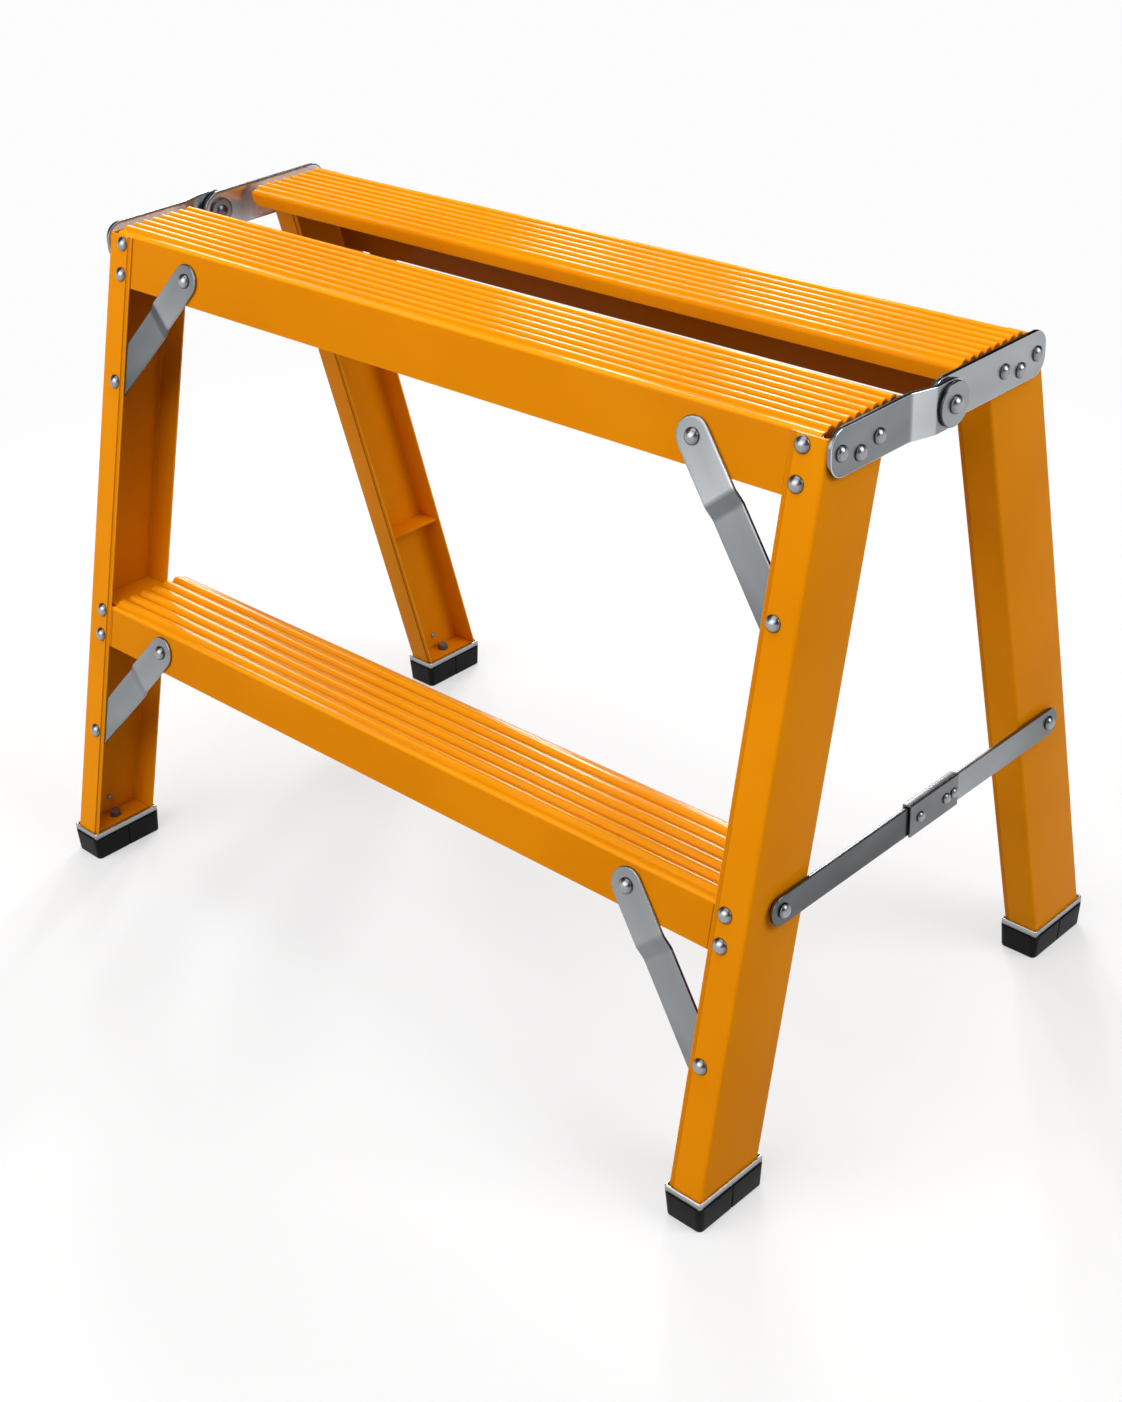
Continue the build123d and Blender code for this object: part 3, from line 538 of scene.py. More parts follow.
def ribbed_shells(sheet, half_span, seam):
    """Ribbed sheet along X: its chains are carried from end to end, and the corners of its lip are cut
    round. Shade is painted underneath, over the apron, and darker in the seam beside the leg flanges."""
    s = sizes()
    inset = LIP_CORNER * (1 - np.sin(np.linspace(0, pi / 2, CORNER_POINTS)))
    dark = seam - SEAM_PLACES
    station = np.unique(np.round(np.concatenate([half_span - inset, dark, [0]]), STATION_DIGITS))
    station = np.concatenate([-station[:0:-1], station])
    depth_in = np.clip(LIP_CORNER - (half_span - np.abs(station)), 0, LIP_CORNER)
    lowest = sheet.crest - sheet.lip + LIP_CORNER - np.sqrt(LIP_CORNER**2 - depth_in**2)
    chains = []
    for sink in (0.0, s.sheet):
        chain, tone = ribbed_chain(sheet, sink)
        points = carried(chain, station)
        points[:, -1, 2] = lowest
        chains.append(points)
    shaded = np.interp(np.abs(station), dark, SEAM_SHADES)
    on_apron = np.arange(len(tone)) < APRON_POINTS
    shells = Shells()
    shells.strip(*chains, np.where(on_apron, shaded[:, None], tone), UNDERSIDE_SHADE)
    return shells


# Materials


MIX_SHARE, MIX_FROM, MIX_TO, MIX_RESULT = 0, 6, 7, 2  # sockets of a Mix node that mixes colours


def add_node(tree, kind, inputs=None, **settings):
    """Add a node with its settings; an input takes a value, the socket that feeds it, or a node for its
    first output."""
    node = tree.nodes.new(kind)
    for name, value in settings.items():
        setattr(node, name, value)
    for name, value in (inputs or {}).items():
        source = value.outputs[0] if isinstance(value, bpy.types.Node) else value
        if isinstance(source, bpy.types.NodeSocket):
            tree.links.new(source, node.inputs[name])
        else:
            node.inputs[name].default_value = source
    return node


def new_material(name):
    """Empty node material and its tree."""
    material = bpy.data.materials.new(name)
    material.use_nodes = True
    material.node_tree.nodes.clear()
    return material, material.node_tree


def rgba(colour):
    """A colour with full alpha."""
    return (*colour, 1.0)


def toned(tree, value, middle, colours):
    """Colour that goes from the middle one of three to the first as a value falls by 1 below a middle
    value, and to the last as it rises by 1 above."""
    colour = colours[1]
    for change, end in ((-1, colours[0]), (1, colours[2])):
        limits = {"From Min": middle, "From Max": middle + change}
        share = add_node(tree, "ShaderNodeMapRange", {"Value": value, **limits})
        ends = {MIX_SHARE: share, MIX_FROM: colour, MIX_TO: end}
        colour = add_node(tree, "ShaderNodeMix", ends, data_type="RGBA").outputs[MIX_RESULT]
    return colour


CLOUD_SIZE = 140 * MM  # slow change of film thickness along a sprayed part
CLOUD_DEPTHS = {"From Min": 0.35, "From Max": 0.65}
PEEL_SIZE = 2.2 * MM  # orange peel of sprayed enamel; real peel is finer and would not show
PEEL = {"Strength": 0.10, "Distance": 0.12 * MM}
ENAMEL_ROUGHNESS = {"From Min": 0.3, "From Max": 0.7, "To Min": 0.11, "To Max": 0.15}
ENAMEL_IOR = 1.5
ENAMEL_SHINE = 0.015  # low, because the enamel's own colour outweighs its reflections
PLANK_SHINE = 0.036  # treads are polished by use, the step most
STEP_SHINE = 0.099
TREAD_TILT = {"From Min": 0.3, "From Max": 0.8}  # upward part of the normal, from no polish to full


def gloss_enamel(name, tread_shine=ENAMEL_SHINE):
    """Stove enamel on steel: a smooth orange film with a clear gloss, faint orange peel and slow clouds of
    depth; shade is painted into it in brown and highlights in a brighter orange, as the tone says. A tread
    is shinier on what faces up."""
    finishes = bpy.context.scene.sawhorse_finishes
    material, tree = new_material(name)
    where = add_node(tree, "ShaderNodeTexCoord").outputs
    tone = add_node(tree, "ShaderNodeAttribute", attribute_name="tone").outputs["Fac"]
    noise = {"Vector": where["Object"], "Scale": 1 / CLOUD_SIZE, "Detail": 2.0}
    cloud = add_node(tree, "ShaderNodeTexNoise", noise)
    depth = add_node(tree, "ShaderNodeMapRange", {"Value": cloud, **CLOUD_DEPTHS})
    paints = {MIX_SHARE: depth, MIX_FROM: rgba(finishes.paint), MIX_TO: rgba(finishes.paint_deep)}
    film = add_node(tree, "ShaderNodeMix", paints, data_type="RGBA").outputs[MIX_RESULT]
    noise = {"Vector": where["Object"], "Scale": 1 / PEEL_SIZE, "Detail": 1.0}
    peel = add_node(tree, "ShaderNodeTexNoise", noise)
    shine = ENAMEL_SHINE
    if tread_shine != ENAMEL_SHINE:
        upwards = add_node(tree, "ShaderNodeSeparateXYZ", {"Vector": where["Normal"]}).outputs["Z"]
        limits = {**TREAD_TILT, "To Min": ENAMEL_SHINE, "To Max": tread_shine}
        shine = add_node(tree, "ShaderNodeMapRange", {"Value": upwards, **limits})
    tones = rgba(finishes.paint_shade), film, rgba(finishes.paint_highlight)
    surface = {
        "Base Color": toned(tree, tone, 0.0, tones),
        "Roughness": add_node(tree, "ShaderNodeMapRange", {"Value": cloud, **ENAMEL_ROUGHNESS}),
        "Normal": add_node(tree, "ShaderNodeBump", {"Height": peel, **PEEL}),
        "IOR": ENAMEL_IOR,
        "Specular IOR Level": shine,
    }
    shader = add_node(tree, "ShaderNodeBsdfPrincipled", surface)
    add_node(tree, "ShaderNodeOutputMaterial", {"Surface": shader})
    return material


SHEEN_SIZE = np.array([70, 24, 24]) * MM  # slow change of brightness along and across plated strip
ROLL_SIZE = np.array([60, 1.6, 1.6]) * MM  # rolling marks, drawn coarser than real so that they show
ROLL_ROUGHNESS = 0.03  # how much the rolling marks change the roughness
DARK_TINT = 0.45  # reflection at grazing angles where the painted shade is darkest
PAINTED_PALE_METAL = 0.2  # metallic part where the plating is painted pale for a reflection, and of dulled bolts
BOLT_METAL = 0.25


def plated_steel(name, colour, roughness, sheen, metal=1.0, painted_pale=False):
    """Zinc-plated cold-rolled steel: a satin grey metal, almost smooth, whose brightness changes slowly
    along it; shade is painted dark into seams and rims and highlights bright onto bends and edges. With the
    pale option it is painted pale and hardly metallic where its tone goes past the brightest, a painted
    reflection."""
    finishes = bpy.context.scene.sawhorse_finishes
    material, tree = new_material(name)
    grain = add_node(tree, "ShaderNodeAttribute", attribute_name="grain").outputs["Vector"]
    tone = add_node(tree, "ShaderNodeAttribute", attribute_name="tone").outputs["Fac"]
    slow = add_node(tree, "ShaderNodeMapping", {"Vector": grain, "Scale": 1 / SHEEN_SIZE})
    cloud = add_node(tree, "ShaderNodeTexNoise", {"Vector": slow, "Scale": 1.0, "Detail": 1.0})
    level = add_node(tree, "ShaderNodeMath", {0: cloud, 1: sheen, 2: tone}, operation="MULTIPLY_ADD")
    stretch = add_node(tree, "ShaderNodeMapping", {"Vector": grain, "Scale": 1 / ROLL_SIZE})
    marks = add_node(tree, "ShaderNodeTexNoise", {"Vector": stretch, "Scale": 1.0, "Detail": 2.0})
    limits = {"To Min": roughness - ROLL_ROUGHNESS, "To Max": roughness + ROLL_ROUGHNESS}
    rough = add_node(tree, "ShaderNodeMapRange", {"Value": marks, **limits})
    middle = sheen / 2
    limits = {"From Min": middle - 1, "From Max": middle, "To Min": DARK_TINT}
    tint = add_node(tree, "ShaderNodeMapRange", {"Value": level, **limits})
    if painted_pale:
        limits = {"From Min": middle + 1, "From Max": middle + 2, "To Min": metal, "To Max": PAINTED_PALE_METAL}
        metal = add_node(tree, "ShaderNodeMapRange", {"Value": level, **limits})
    tones = rgba(finishes.steel_shade), rgba(getattr(finishes, colour)), rgba(finishes.steel_highlight)
    surface = {
        "Base Color": toned(tree, level, middle, tones),
        "Metallic": metal,
        "Roughness": rough,
        "Specular Tint": tint,
    }
    shader = add_node(tree, "ShaderNodeBsdfPrincipled", surface)
    add_node(tree, "ShaderNodeOutputMaterial", {"Surface": shader})
    return material


GRIT_SIZE = 1.2 * MM  # grain of moulded rubber
GRIT = {"Strength": 0.2, "Distance": 0.2 * MM}
BLOOM_SIZE = 18 * MM  # patches where the rubber has gone greyer
BLOOM_GAIN = 1.8
RUBBER_ROUGHNESS = {"To Min": 0.36, "To Max": 0.52}
RUBBER_IOR = 1.52
RUBBER_SHINE = 0.1


def moulded_rubber(name):
    """Black moulded rubber: dark, with a soft sheen and the fine grain of its mould."""
    finishes = bpy.context.scene.sawhorse_finishes
    material, tree = new_material(name)
    place = add_node(tree, "ShaderNodeTexCoord").outputs["Object"]
    grit = add_node(tree, "ShaderNodeTexNoise", {"Vector": place, "Scale": 1 / GRIT_SIZE, "Detail": 4.0})
    bloom = add_node(tree, "ShaderNodeTexNoise", {"Vector": place, "Scale": 1 / BLOOM_SIZE, "Detail": 2.0})
    grey = tuple(min(1.0, channel * BLOOM_GAIN) for channel in finishes.rubber)
    blacks = {MIX_SHARE: bloom, MIX_FROM: rgba(finishes.rubber), MIX_TO: rgba(grey)}
    surface = {
        "Base Color": add_node(tree, "ShaderNodeMix", blacks, data_type="RGBA").outputs[MIX_RESULT],
        "Roughness": add_node(tree, "ShaderNodeMapRange", {"Value": bloom, **RUBBER_ROUGHNESS}),
        "Normal": add_node(tree, "ShaderNodeBump", {"Height": grit, **GRIT}),
        "IOR": RUBBER_IOR,
        "Specular IOR Level": RUBBER_SHINE,
    }
    shader = add_node(tree, "ShaderNodeBsdfPrincipled", surface)
    add_node(tree, "ShaderNodeOutputMaterial", {"Surface": shader})
    return material


# Each finish: the material's name, what makes it, and its settings; those of plated steel are its colour,
# its roughness, how far its brightness changes, its metallic part and whether its brightest tone is painted
# pale and less metallic, a painted reflection
FINISHES = {
    "orange_paint": ("orange_gloss_enamel", gloss_enamel),
    "plank_paint": ("orange_plank_enamel", gloss_enamel, PLANK_SHINE),
    "step_paint": ("orange_step_enamel", gloss_enamel, STEP_SHINE),
    "zinc_steel": ("zinc_plated_strip", plated_steel, "zinc", 0.26, 0.3, 1.0, True),
    "steel_rivet": ("plated_rivet_steel", plated_steel, "rivet", 0.28, 0.2),
    "dulled_bolt": ("dulled_bolt_steel", plated_steel, "rivet", 0.28, 0.2, BOLT_METAL),
    "zinc_tray": ("plated_tray_steel", plated_steel, "tray", 0.3, 0.25, 1.0, True),
    "black_rubber": ("black_moulded_rubber", moulded_rubber),
}


def finish_of(kind):
    """The material of a finish, made when it is first asked for."""
    name, maker, *settings = FINISHES[kind]
    return bpy.data.materials.get(name) or maker(name, *settings)


# Pieces


DOUBLE = 2e-6  # metres; points of a mesh nearer than this are merged
SLIVER = 1e-6  # metres; shorter edges are dissolved
BEVEL_SEGMENTS = 2
CREASE = 35  # degrees; sharper edges stay sharp


def make_piece(name, shells, body, slot, *nodes, bevel=0.0, crease=CREASE, finish=None):
    """One finished piece: doubles merged, faces turned outwards, smooth but for its sharp edges, riding its
    body in place of its CAD nodes. Its finish is its slot's, or one of its own."""
    mesh = bpy.data.meshes.new(name)
    faces = shells.quads.tolist() + [cap.tolist() for cap in shells.caps]
    mesh.from_pydata(shells.points.tolist(), [], faces)
    grain = mesh.attributes.new("grain", "FLOAT_VECTOR", "POINT")
    grain.data.foreach_set("vector", shells.grain.astype(np.float32).ravel())
    tone = mesh.attributes.new("tone", "FLOAT", "POINT")
    tone.data.foreach_set("value", shells.tone.astype(np.float32))
    work = bmesh.new()
    work.from_mesh(mesh)
    bmesh.ops.remove_doubles(work, verts=work.verts, dist=DOUBLE)
    bmesh.ops.dissolve_degenerate(work, edges=work.edges, dist=SLIVER)
    bmesh.ops.recalc_face_normals(work, faces=work.faces)
    work.to_mesh(mesh)
    work.free()
    mesh.shade_smooth()
    mesh.set_sharp_from_angle(angle=radians(crease))
    mesh.materials.append(finish_of(finish or slot))
    piece = bpy.data.objects.new(name, mesh)
    bpy.context.scene.collection.objects.link(piece)
    if bevel:
        edges = piece.modifiers.new("edges", "BEVEL")
        edges.width = bevel
        edges.segments = BEVEL_SEGMENTS
        edges.limit_method = "ANGLE"
        edges.angle_limit = radians(crease)
        edges.use_clamp_overlap = True
    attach(piece, body)
    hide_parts(*nodes)


class SAWHORSE_OT_kept(bpy.types.Operator):
    """Give the CAD pieces that keep their shape their real finishes"""

    bl_idname = "sawhorse.kept"
    bl_label = "Floor plates and shelves"

    def execute(self, context):
        slots = {entry["node"]: entry["material_slot"] for entry in frame["record"]["subparts"]}
        for name, node in frame["nodes"].items():
            node.data.materials.clear()
            node.data.materials.append(finish_of(slots[name]))
        return {"FINISHED"}


class SAWHORSE_OT_legs(bpy.types.Operator):
    """Bend the four channel legs"""

    bl_idname = "sawhorse.legs"
    bl_label = "Legs"

    def execute(self, context):
        edge = context.scene.sawhorse_sizes.paint_edge
        for side in SIDES:
            right = leg_shells(LEG_INSIDE_SHADES[side])
            for end in ENDS:
                node = f"{side}_leg_{end}"
                shells = moved_to(right, side, end)
                make_piece(f"{node}_channel", shells, f"{side}_frame", "orange_paint", node, bevel=edge)
        return {"FINISHED"}


PLANK_PITCH = 10 * MM
PLANK_APRONS = {"front": 49 * MM, "rear": 85 * MM}
PLANK_LIP = 16 * MM
PLANK_END = 8 * MM  # short turned-down end of a plank between the leg flanges


class SAWHORSE_OT_planks(bpy.types.Operator):
    """Roll the two ribbed planks"""

    bl_idname = "sawhorse.planks"
    bl_label = "Planks"

    def execute(self, context):
        s = context.scene.sawhorse_sizes
        span = s.half_length - s.leg_wall - SHEET_END_GAP
        for side in SIDES:
            sheet = RibbedSheet(s.tread, -s.plank_gap / 2, PLANK_APRONS[side], PLANK_LIP, PLANK_PITCH)
            shells = ribbed_shells(sheet, span, s.half_length - s.leg_flange)
            for x in (span - s.sheet, -span):
                self.turn_down(shells, sheet, x)
            node = f"{side}_plank"
            look = {"bevel": s.paint_edge, "finish": "plank_paint"}
            shells = moved_to(shells, side)
            make_piece(f"{node}_sheet", shells, f"{side}_frame", "orange_paint", node, **look)
        return {"FINISHED"}

    def turn_down(self, shells, sheet, x):
        """Short end wall between the leg flanges: its upper edge follows the underside of the ribs and its
        lower edge is level."""
        s = sizes()
        under = sheet.crest - s.rib_height - s.sheet
        first = face_y(under, s.leg_wall + s.sheet) + SHEET_BEND
        last = face_y(under, s.leg_depth - s.leg_wall) - SHEET_BEND
        chain, _ = ribbed_chain(sheet, s.sheet)
        upper = chain[(chain[:, 0] > first) & (chain[:, 0] < last)]
        lower = np.stack([upper[:, 0], np.full(len(upper), under - PLANK_END)], 1)
        walls = [carried(edge, (x, x + s.sheet)) for edge in (upper, lower)]
        shells.strip(*walls, UNDERSIDE_SHADE, UNDERSIDE_SHADE)


STEP_PITCH = 13 * MM
STEP_APRON = 41 * MM
STEP_LIP = 20 * MM
STEP_DEPTH = 88 * MM
STEP_SIDE_GAP = 1 * MM
STEP_RIBS = (1.7, 0.35, 0.15)  # flatter, painted valley shade and painted light of its ribs
TONGUE_GAP = 1.5 * MM


class SAWHORSE_OT_step(bpy.types.Operator):
    """Roll the ribbed step with its tabs and tongues"""

    bl_idname = "sawhorse.step"
    bl_label = "Step"

    def execute(self, context):
        s = context.scene.sawhorse_sizes
        span = s.half_length - s.leg_flange - STEP_SIDE_GAP
        base = s.step_tread - s.rib_height
        under = base - s.sheet
        toe = s.step_tread - STEP_APRON
        rear = face_y(base, s.leg_wall) + STEP_DEPTH
        sheet = RibbedSheet(s.step_tread, rear, STEP_APRON, STEP_LIP, STEP_PITCH, *STEP_RIBS)
        shells = ribbed_shells(sheet, span, span)
        heights = np.array([toe, base])
        depths = (s.leg_wall, s.leg_wall + s.sheet)
        tab = [np.stack([face_y(heights, depth), heights], 1) for depth in depths]
        tab_end = s.half_length - s.leg_wall - SHEET_END_GAP
        front = face_y(under, s.leg_wall + s.sheet) + SHEET_BEND + TONGUE_GAP
        back = face_y(base, s.leg_depth - s.leg_wall) - TONGUE_GAP
        tongue_end = s.half_length - s.leg_wall - TONGUE_GAP
        for sign in (1, -1):
            stations = sorted((sign * span, sign * tab_end))
            shells.strip(*(carried(chain, stations) for chain in tab))
            low, high = sorted((sign * span, sign * tongue_end))
            ring = [(low, front), (high, front), (high, back), (low, back)]
            shells.rings(np.array([[(*corner, level) for corner in ring] for level in (under, base)]))
        look = {"bevel": s.paint_edge, "finish": "step_paint"}
        make_piece("step_sheet", shells, "front_frame", "orange_paint", "step", **look)
        return {"FINISHED"}


BRACE_RUN = 112 * MM
BRACE_FALL = 106 * MM
BRACE_DROP = 27.5 * MM
STEP_BRACE_DROP = 22 * MM
BRACE_RADIUS = 15 * MM
BRACE_THICK = 3 * MM
BRACE_CLEAR = 5 * MM
BRACE_JOGGLE_RUN = 10 * MM
JOGGLE_BEND = 0.8 * MM
RIVET_INSET = 20 * MM
BRACE_SHADES = (2 * MM, 1 * MM, 3 * MM)  # tones change this far before and into the joggle, and past it
BRACE_REFLECTION_AND_SHADE = (-0.1, 0.3, -0.45, -0.45, -0.15, -0.4)  # painted reflection and shade, from the upper end over the joggle to the lower end
PLANK_BRACE_LOOK = (1.0, {"right": 0.0, "left": -0.22})  # strength of those tones, and a tone at each end, painted shade at the left
STEP_BRACE_LOOK = (0.4, {"right": -0.1, "left": -0.1})


def brace_ends(upper_height):
    """Upper and lower rivet places of a right-hand brace on the front face."""
    s = sizes()
    upper = (s.half_length - BRACE_RUN, upper_height)
    lower = (s.half_length - RIVET_INSET, upper_height - BRACE_FALL)
    return upper, lower


def brace_shells(upper_height, toe, strength, level):
    """Right-hand brace: a bar with round ends whose upper part lies on the apron and whose lower part, from
    just below the apron's toe, is set back by its own thickness behind the leg flange. About an even level
    a reflection is painted bright above the joggle, and shade dark in it and at its lower end."""
    s = sizes()
    upper, lower = brace_ends(upper_height)
    start = face_point(*upper, s.leg_wall)
    stop = face_point(*lower, s.leg_wall)
    length = np.linalg.norm(stop - start)
    along = (stop - start) / length
    out = face_out()
    below = (upper_height - toe) / cos(s.lean) + BRACE_RADIUS * along[0] + BRACE_CLEAR
    bend = below / np.hypot(along[1], along[2])
    bend_end = bend + BRACE_JOGGLE_RUN
    joggle = ramp_between(bend, bend_end, 0, -BRACE_THICK, JOGGLE_BEND)
    outline = densify(slot_outline(0, length, BRACE_RADIUS), BAR_STEP)
    local = plate(outline, (0, length), BRACE_THICK, s.edge, joggle)
    before, into, past = BRACE_SHADES
    places = [-BRACE_RADIUS, bend - before, bend + into, bend_end, bend_end + past, length]
    tone = level + strength * np.interp(local[..., 0], places, BRACE_REFLECTION_AND_SHADE)
    return set_plate(local, start, (along, np.cross(out, along), out), tone)


class SAWHORSE_OT_braces(bpy.types.Operator):
    """Cut and set the joggled corner braces"""

    bl_idname = "sawhorse.braces"
    bl_label = "Braces"

    def execute(self, context):
        s = context.scene.sawhorse_sizes
        plank, step = s.tread - BRACE_DROP, s.step_tread - STEP_BRACE_DROP
        groups = (
            ("front_brace", "front", plank, s.tread - PLANK_APRONS["front"], *PLANK_BRACE_LOOK),
            ("rear_brace", "rear", plank, s.tread - PLANK_APRONS["rear"], *PLANK_BRACE_LOOK),
            ("step_brace", "front", step, s.step_tread - STEP_APRON, *STEP_BRACE_LOOK),
        )
        for name, side, height, toe, strength, levels in groups:
            for end in ENDS:
                node = f"{name}_{end}"
                shells = moved_to(brace_shells(height, toe, strength, levels[end]), side, end)
                make_piece(f"{node}_strip", shells, f"{side}_frame", "zinc_steel", node)
        return {"FINISHED"}


BAR_HEIGHT = 36 * MM
BAR_THICK = 4 * MM
BAR_RISE = 2.5 * MM
BAR_REACH = 128.5 * MM
BAR_CORNER = 14 * MM
BAR_JOGGLE = (18.5 * MM, 40 * MM)
RUN_GAP = 0.3 * MM
SPACER_THICK = 2.4 * MM
SPACER_RADIUS = 12 * MM
DISC_THICK = 3 * MM
DISC_RADIUS = 16.75 * MM
DISC_EDGE = 0.9 * MM
DISC_POINTS = 48
WASHER_EDGE = 0.4 * MM
# painted shade on a washer's rim
WASHER_RIM_SHADE = -0.8
WASHER_RIM_STOP = RIM_STOP - 2  # first column beyond that tone
INNER_WASHER_THICK = 2 * MM
BAR_OFFSETS = {"front": BAR_THICK + RUN_GAP + SPACER_THICK, "rear": 0.0}
BAR_TONE = 0.12  # front face of a straight bar
BAR_JOGGLE_SHADES = np.array([-1, 1, -2, 0]) * MM  # tones change this far from the joggle's two ends
# painted shade beside the joggle and a painted highlight on its slope
BAR_JOGGLE_SHADE_AND_HIGHLIGHT = (-0.2, 0.4, 0.6, -0.3)
# painted highlight along the outer edge
BAR_EDGE_HIGHLIGHT = 0.8
BAR_EDGE_COLUMNS = (RIM_STOP - 3, RIM_STOP - 1)  # first column of the painted highlight along the edge, and the first beyond
BAR_LOOKS = {"right": (-1.0, 0.0), "left": (-0.6, 2.2)}  # tones of the rim, painted shade, and of the inner face, painted pale at the left end for a reflection
RIM_SHARES = (1, 0.3, 0.3)  # of the rim's tone at the top, a quarter of the way down, and at the bottom
PALE_FACE_PLACES = (25 * MM, 60 * MM)  # from the fold axis; nearer to it the painted tone of the inner face is weaker
PALE_FACE_SHARES = (0.25, 1)


def pivot_height():
    """Height of the fold axis."""
    return sizes().tread + BAR_RISE - BAR_HEIGHT / 2


def hinge_bar_shells(offset, rim, back):
    """Right-hand front hinge bar, from a round end about the fold axis to its outer end with two round
    corners; it stands off by the offset around the axis. A highlight is painted on the slope of its joggle
    and along its outer edge. Rim and back are the tones of its rim, painted shade strongest along the top,
    and of its inner face, painted pale strongest away from the axis."""
    s = sizes()
    half = BAR_HEIGHT / 2
    near = half_turn(0, half, pi / 2, points=25)
    corners = [near[-1], (BAR_REACH, -half), (BAR_REACH, half), near[0]]
    far = rounded_path(corners, BAR_CORNER, steps=10)[1:-1]
    outline = densify(np.concatenate([near, far]), BAR_STEP)
    joggle = ramp_between(*BAR_JOGGLE, offset, 0, JOGGLE_BEND)
    local = plate(outline, (0, BAR_REACH - half), BAR_THICK, s.edge, joggle)
    along, down = local[..., 0], local[..., 1]
    places = np.repeat(BAR_JOGGLE, 2) + BAR_JOGGLE_SHADES
    face = np.interp(along, places, BAR_JOGGLE_SHADE_AND_HIGHLIGHT) if offset else BAR_TONE
    back = back * np.interp(along, PALE_FACE_PLACES, PALE_FACE_SHARES)
    rim = rim * np.interp(down, [-half, -half / 2, half], RIM_SHARES)
    column = np.arange(local.shape[1])
    bands = [column < stop for stop in (RIM_START, *BAR_EDGE_COLUMNS)]
    tone = np.select(bands, [back, rim, BAR_EDGE_HIGHLIGHT], face)
    return set_plate(local, (s.half_length, 0, pivot_height()), ((0, -1, 0), (0, 0, -1), (1, 0, 0)), tone)


def disc_shells(radius, thickness, place, edge):
    """Round washer facing out at the right-hand end: a plate whose spine is one point. Its rim has painted
    shade.
    """
    angle = np.linspace(0, 2 * pi, DISC_POINTS, endpoint=False)
    outline = radius * np.stack([np.cos(angle), np.sin(angle)], 1)
    local = plate(outline, (0, 0), thickness, edge)
    column = np.arange(local.shape[1])
    on_rim = (column >= RIM_START) & (column < WASHER_RIM_STOP)
    return set_plate(local, place, END_AXES, np.where(on_rim, WASHER_RIM_SHADE, 0.0))


class SAWHORSE_OT_hinges(bpy.types.Operator):
    """Set the hinge bars and their discs at both ends"""

    bl_idname = "sawhorse.hinges"
    bl_label = "Hinges"

    def execute(self, context):
        for end in ENDS:
            for side in SIDES:
                node = f"{side}_hinge_bar_{end}"
                shells = moved_to(hinge_bar_shells(BAR_OFFSETS[side], *BAR_LOOKS[end]), side, end)
                make_piece(f"{node}_strip", shells, f"{side}_frame", "zinc_steel", node)
        discs = (
            (DISC_RADIUS, DISC_THICK, BAR_OFFSETS["front"] + BAR_THICK, DISC_EDGE),
            (SPACER_RADIUS, SPACER_THICK, BAR_THICK + RUN_GAP, WASHER_EDGE),
            (SPACER_RADIUS, INNER_WASHER_THICK, -RUN_GAP - INNER_WASHER_THICK, WASHER_EDGE),
        )
        right = Shells()
        for radius, thickness, out, edge in discs:
            place = (context.scene.sawhorse_sizes.half_length + out, 0, pivot_height())
            right = joined(right, disc_shells(radius, thickness, place, edge))
        make_piece("hinge_discs", both_ends(right), "front_frame", "zinc_steel", "hinge_washers")
        return {"FINISHED"}


# Rivets: width and height of the head, and width of the shank
FRAME_RIVET = (13 * MM, 4.6 * MM, 6 * MM)
BAR_RIVET = (12 * MM, 4.2 * MM, 6 * MM)
STAY_RIVET = (12 * MM, 4.4 * MM, 7 * MM)
SLEEVE_RIVET = (9 * MM, 3.2 * MM, 4 * MM)
PIN_RIVET = (14 * MM, 5.2 * MM, 10 * MM)
FOOT_RIVET = (6 * MM, 2 * MM, 3 * MM)
HEAD_RIM = 0.9 * MM  # short upright rim under the dome
HEAD_RIM_SHARES = (0.75, 0.3)  # points of that rim
HEAD_ROUND = 0.15 * MM
DOME_SHARE = 0.97  # of the dome before its rounded edge
DOME_POINTS = 12
TAIL_SHARE = 0.8  # of the head's radius
TAIL_HEIGHTS = (1.0 * MM, 2.1 * MM, 2.5 * MM)
TAIL_TOP_SHARE = 0.7
# painted shade round the rim of a head and below it
RIVET_RIM_SHADE = -0.6
RIVET_RIM_TOP = 1 * MM  # height of a head up to which it has that tone
DOME_PLACES = np.array([0.2, 0.7])  # shares of the head's height
# painted shade low on the dome and a painted highlight on its top
DOME_SHADE_AND_HIGHLIGHT = (-0.3, 0.2)
PLANK_RIVET_DROPS = (11.5 * MM, 38 * MM)
STEP_RIVET_DROPS = (8 * MM, 32 * MM)
BAR_RIVET_PLACES = np.array([(117, 0), (96, 6.5), (75, 1.2)]) * MM  # from the fold axis, and below it


def rivet_profile(head, rise, shank, grip, tail=True):
    """Section of a rivet: a domed head over a short, rounded rim, the shank, and an upset tail."""
    radius = head / 2
    ball = (radius**2 + (rise - HEAD_RIM) ** 2) / (2 * (rise - HEAD_RIM))
    turn = np.linspace(0, np.arcsin(radius / ball) * DOME_SHARE, DOME_POINTS)
    dome = np.stack([ball * np.sin(turn), rise - ball + ball * np.cos(turn)], 1)
    rim = [(radius, HEAD_RIM * share) for share in HEAD_RIM_SHARES]
    body = [(radius - HEAD_ROUND, 0), (shank / 2, 0), (shank / 2, -grip)]
    end = [(0, -grip)]
    if tail:
        upset = radius * TAIL_SHARE
        side, shoulder, top = (-grip - height for height in TAIL_HEIGHTS)
        end = [(upset, -grip), (upset, side), (upset * TAIL_TOP_SHARE, shoulder), (0, top)]
    return np.concatenate([dome, rim, body, end])


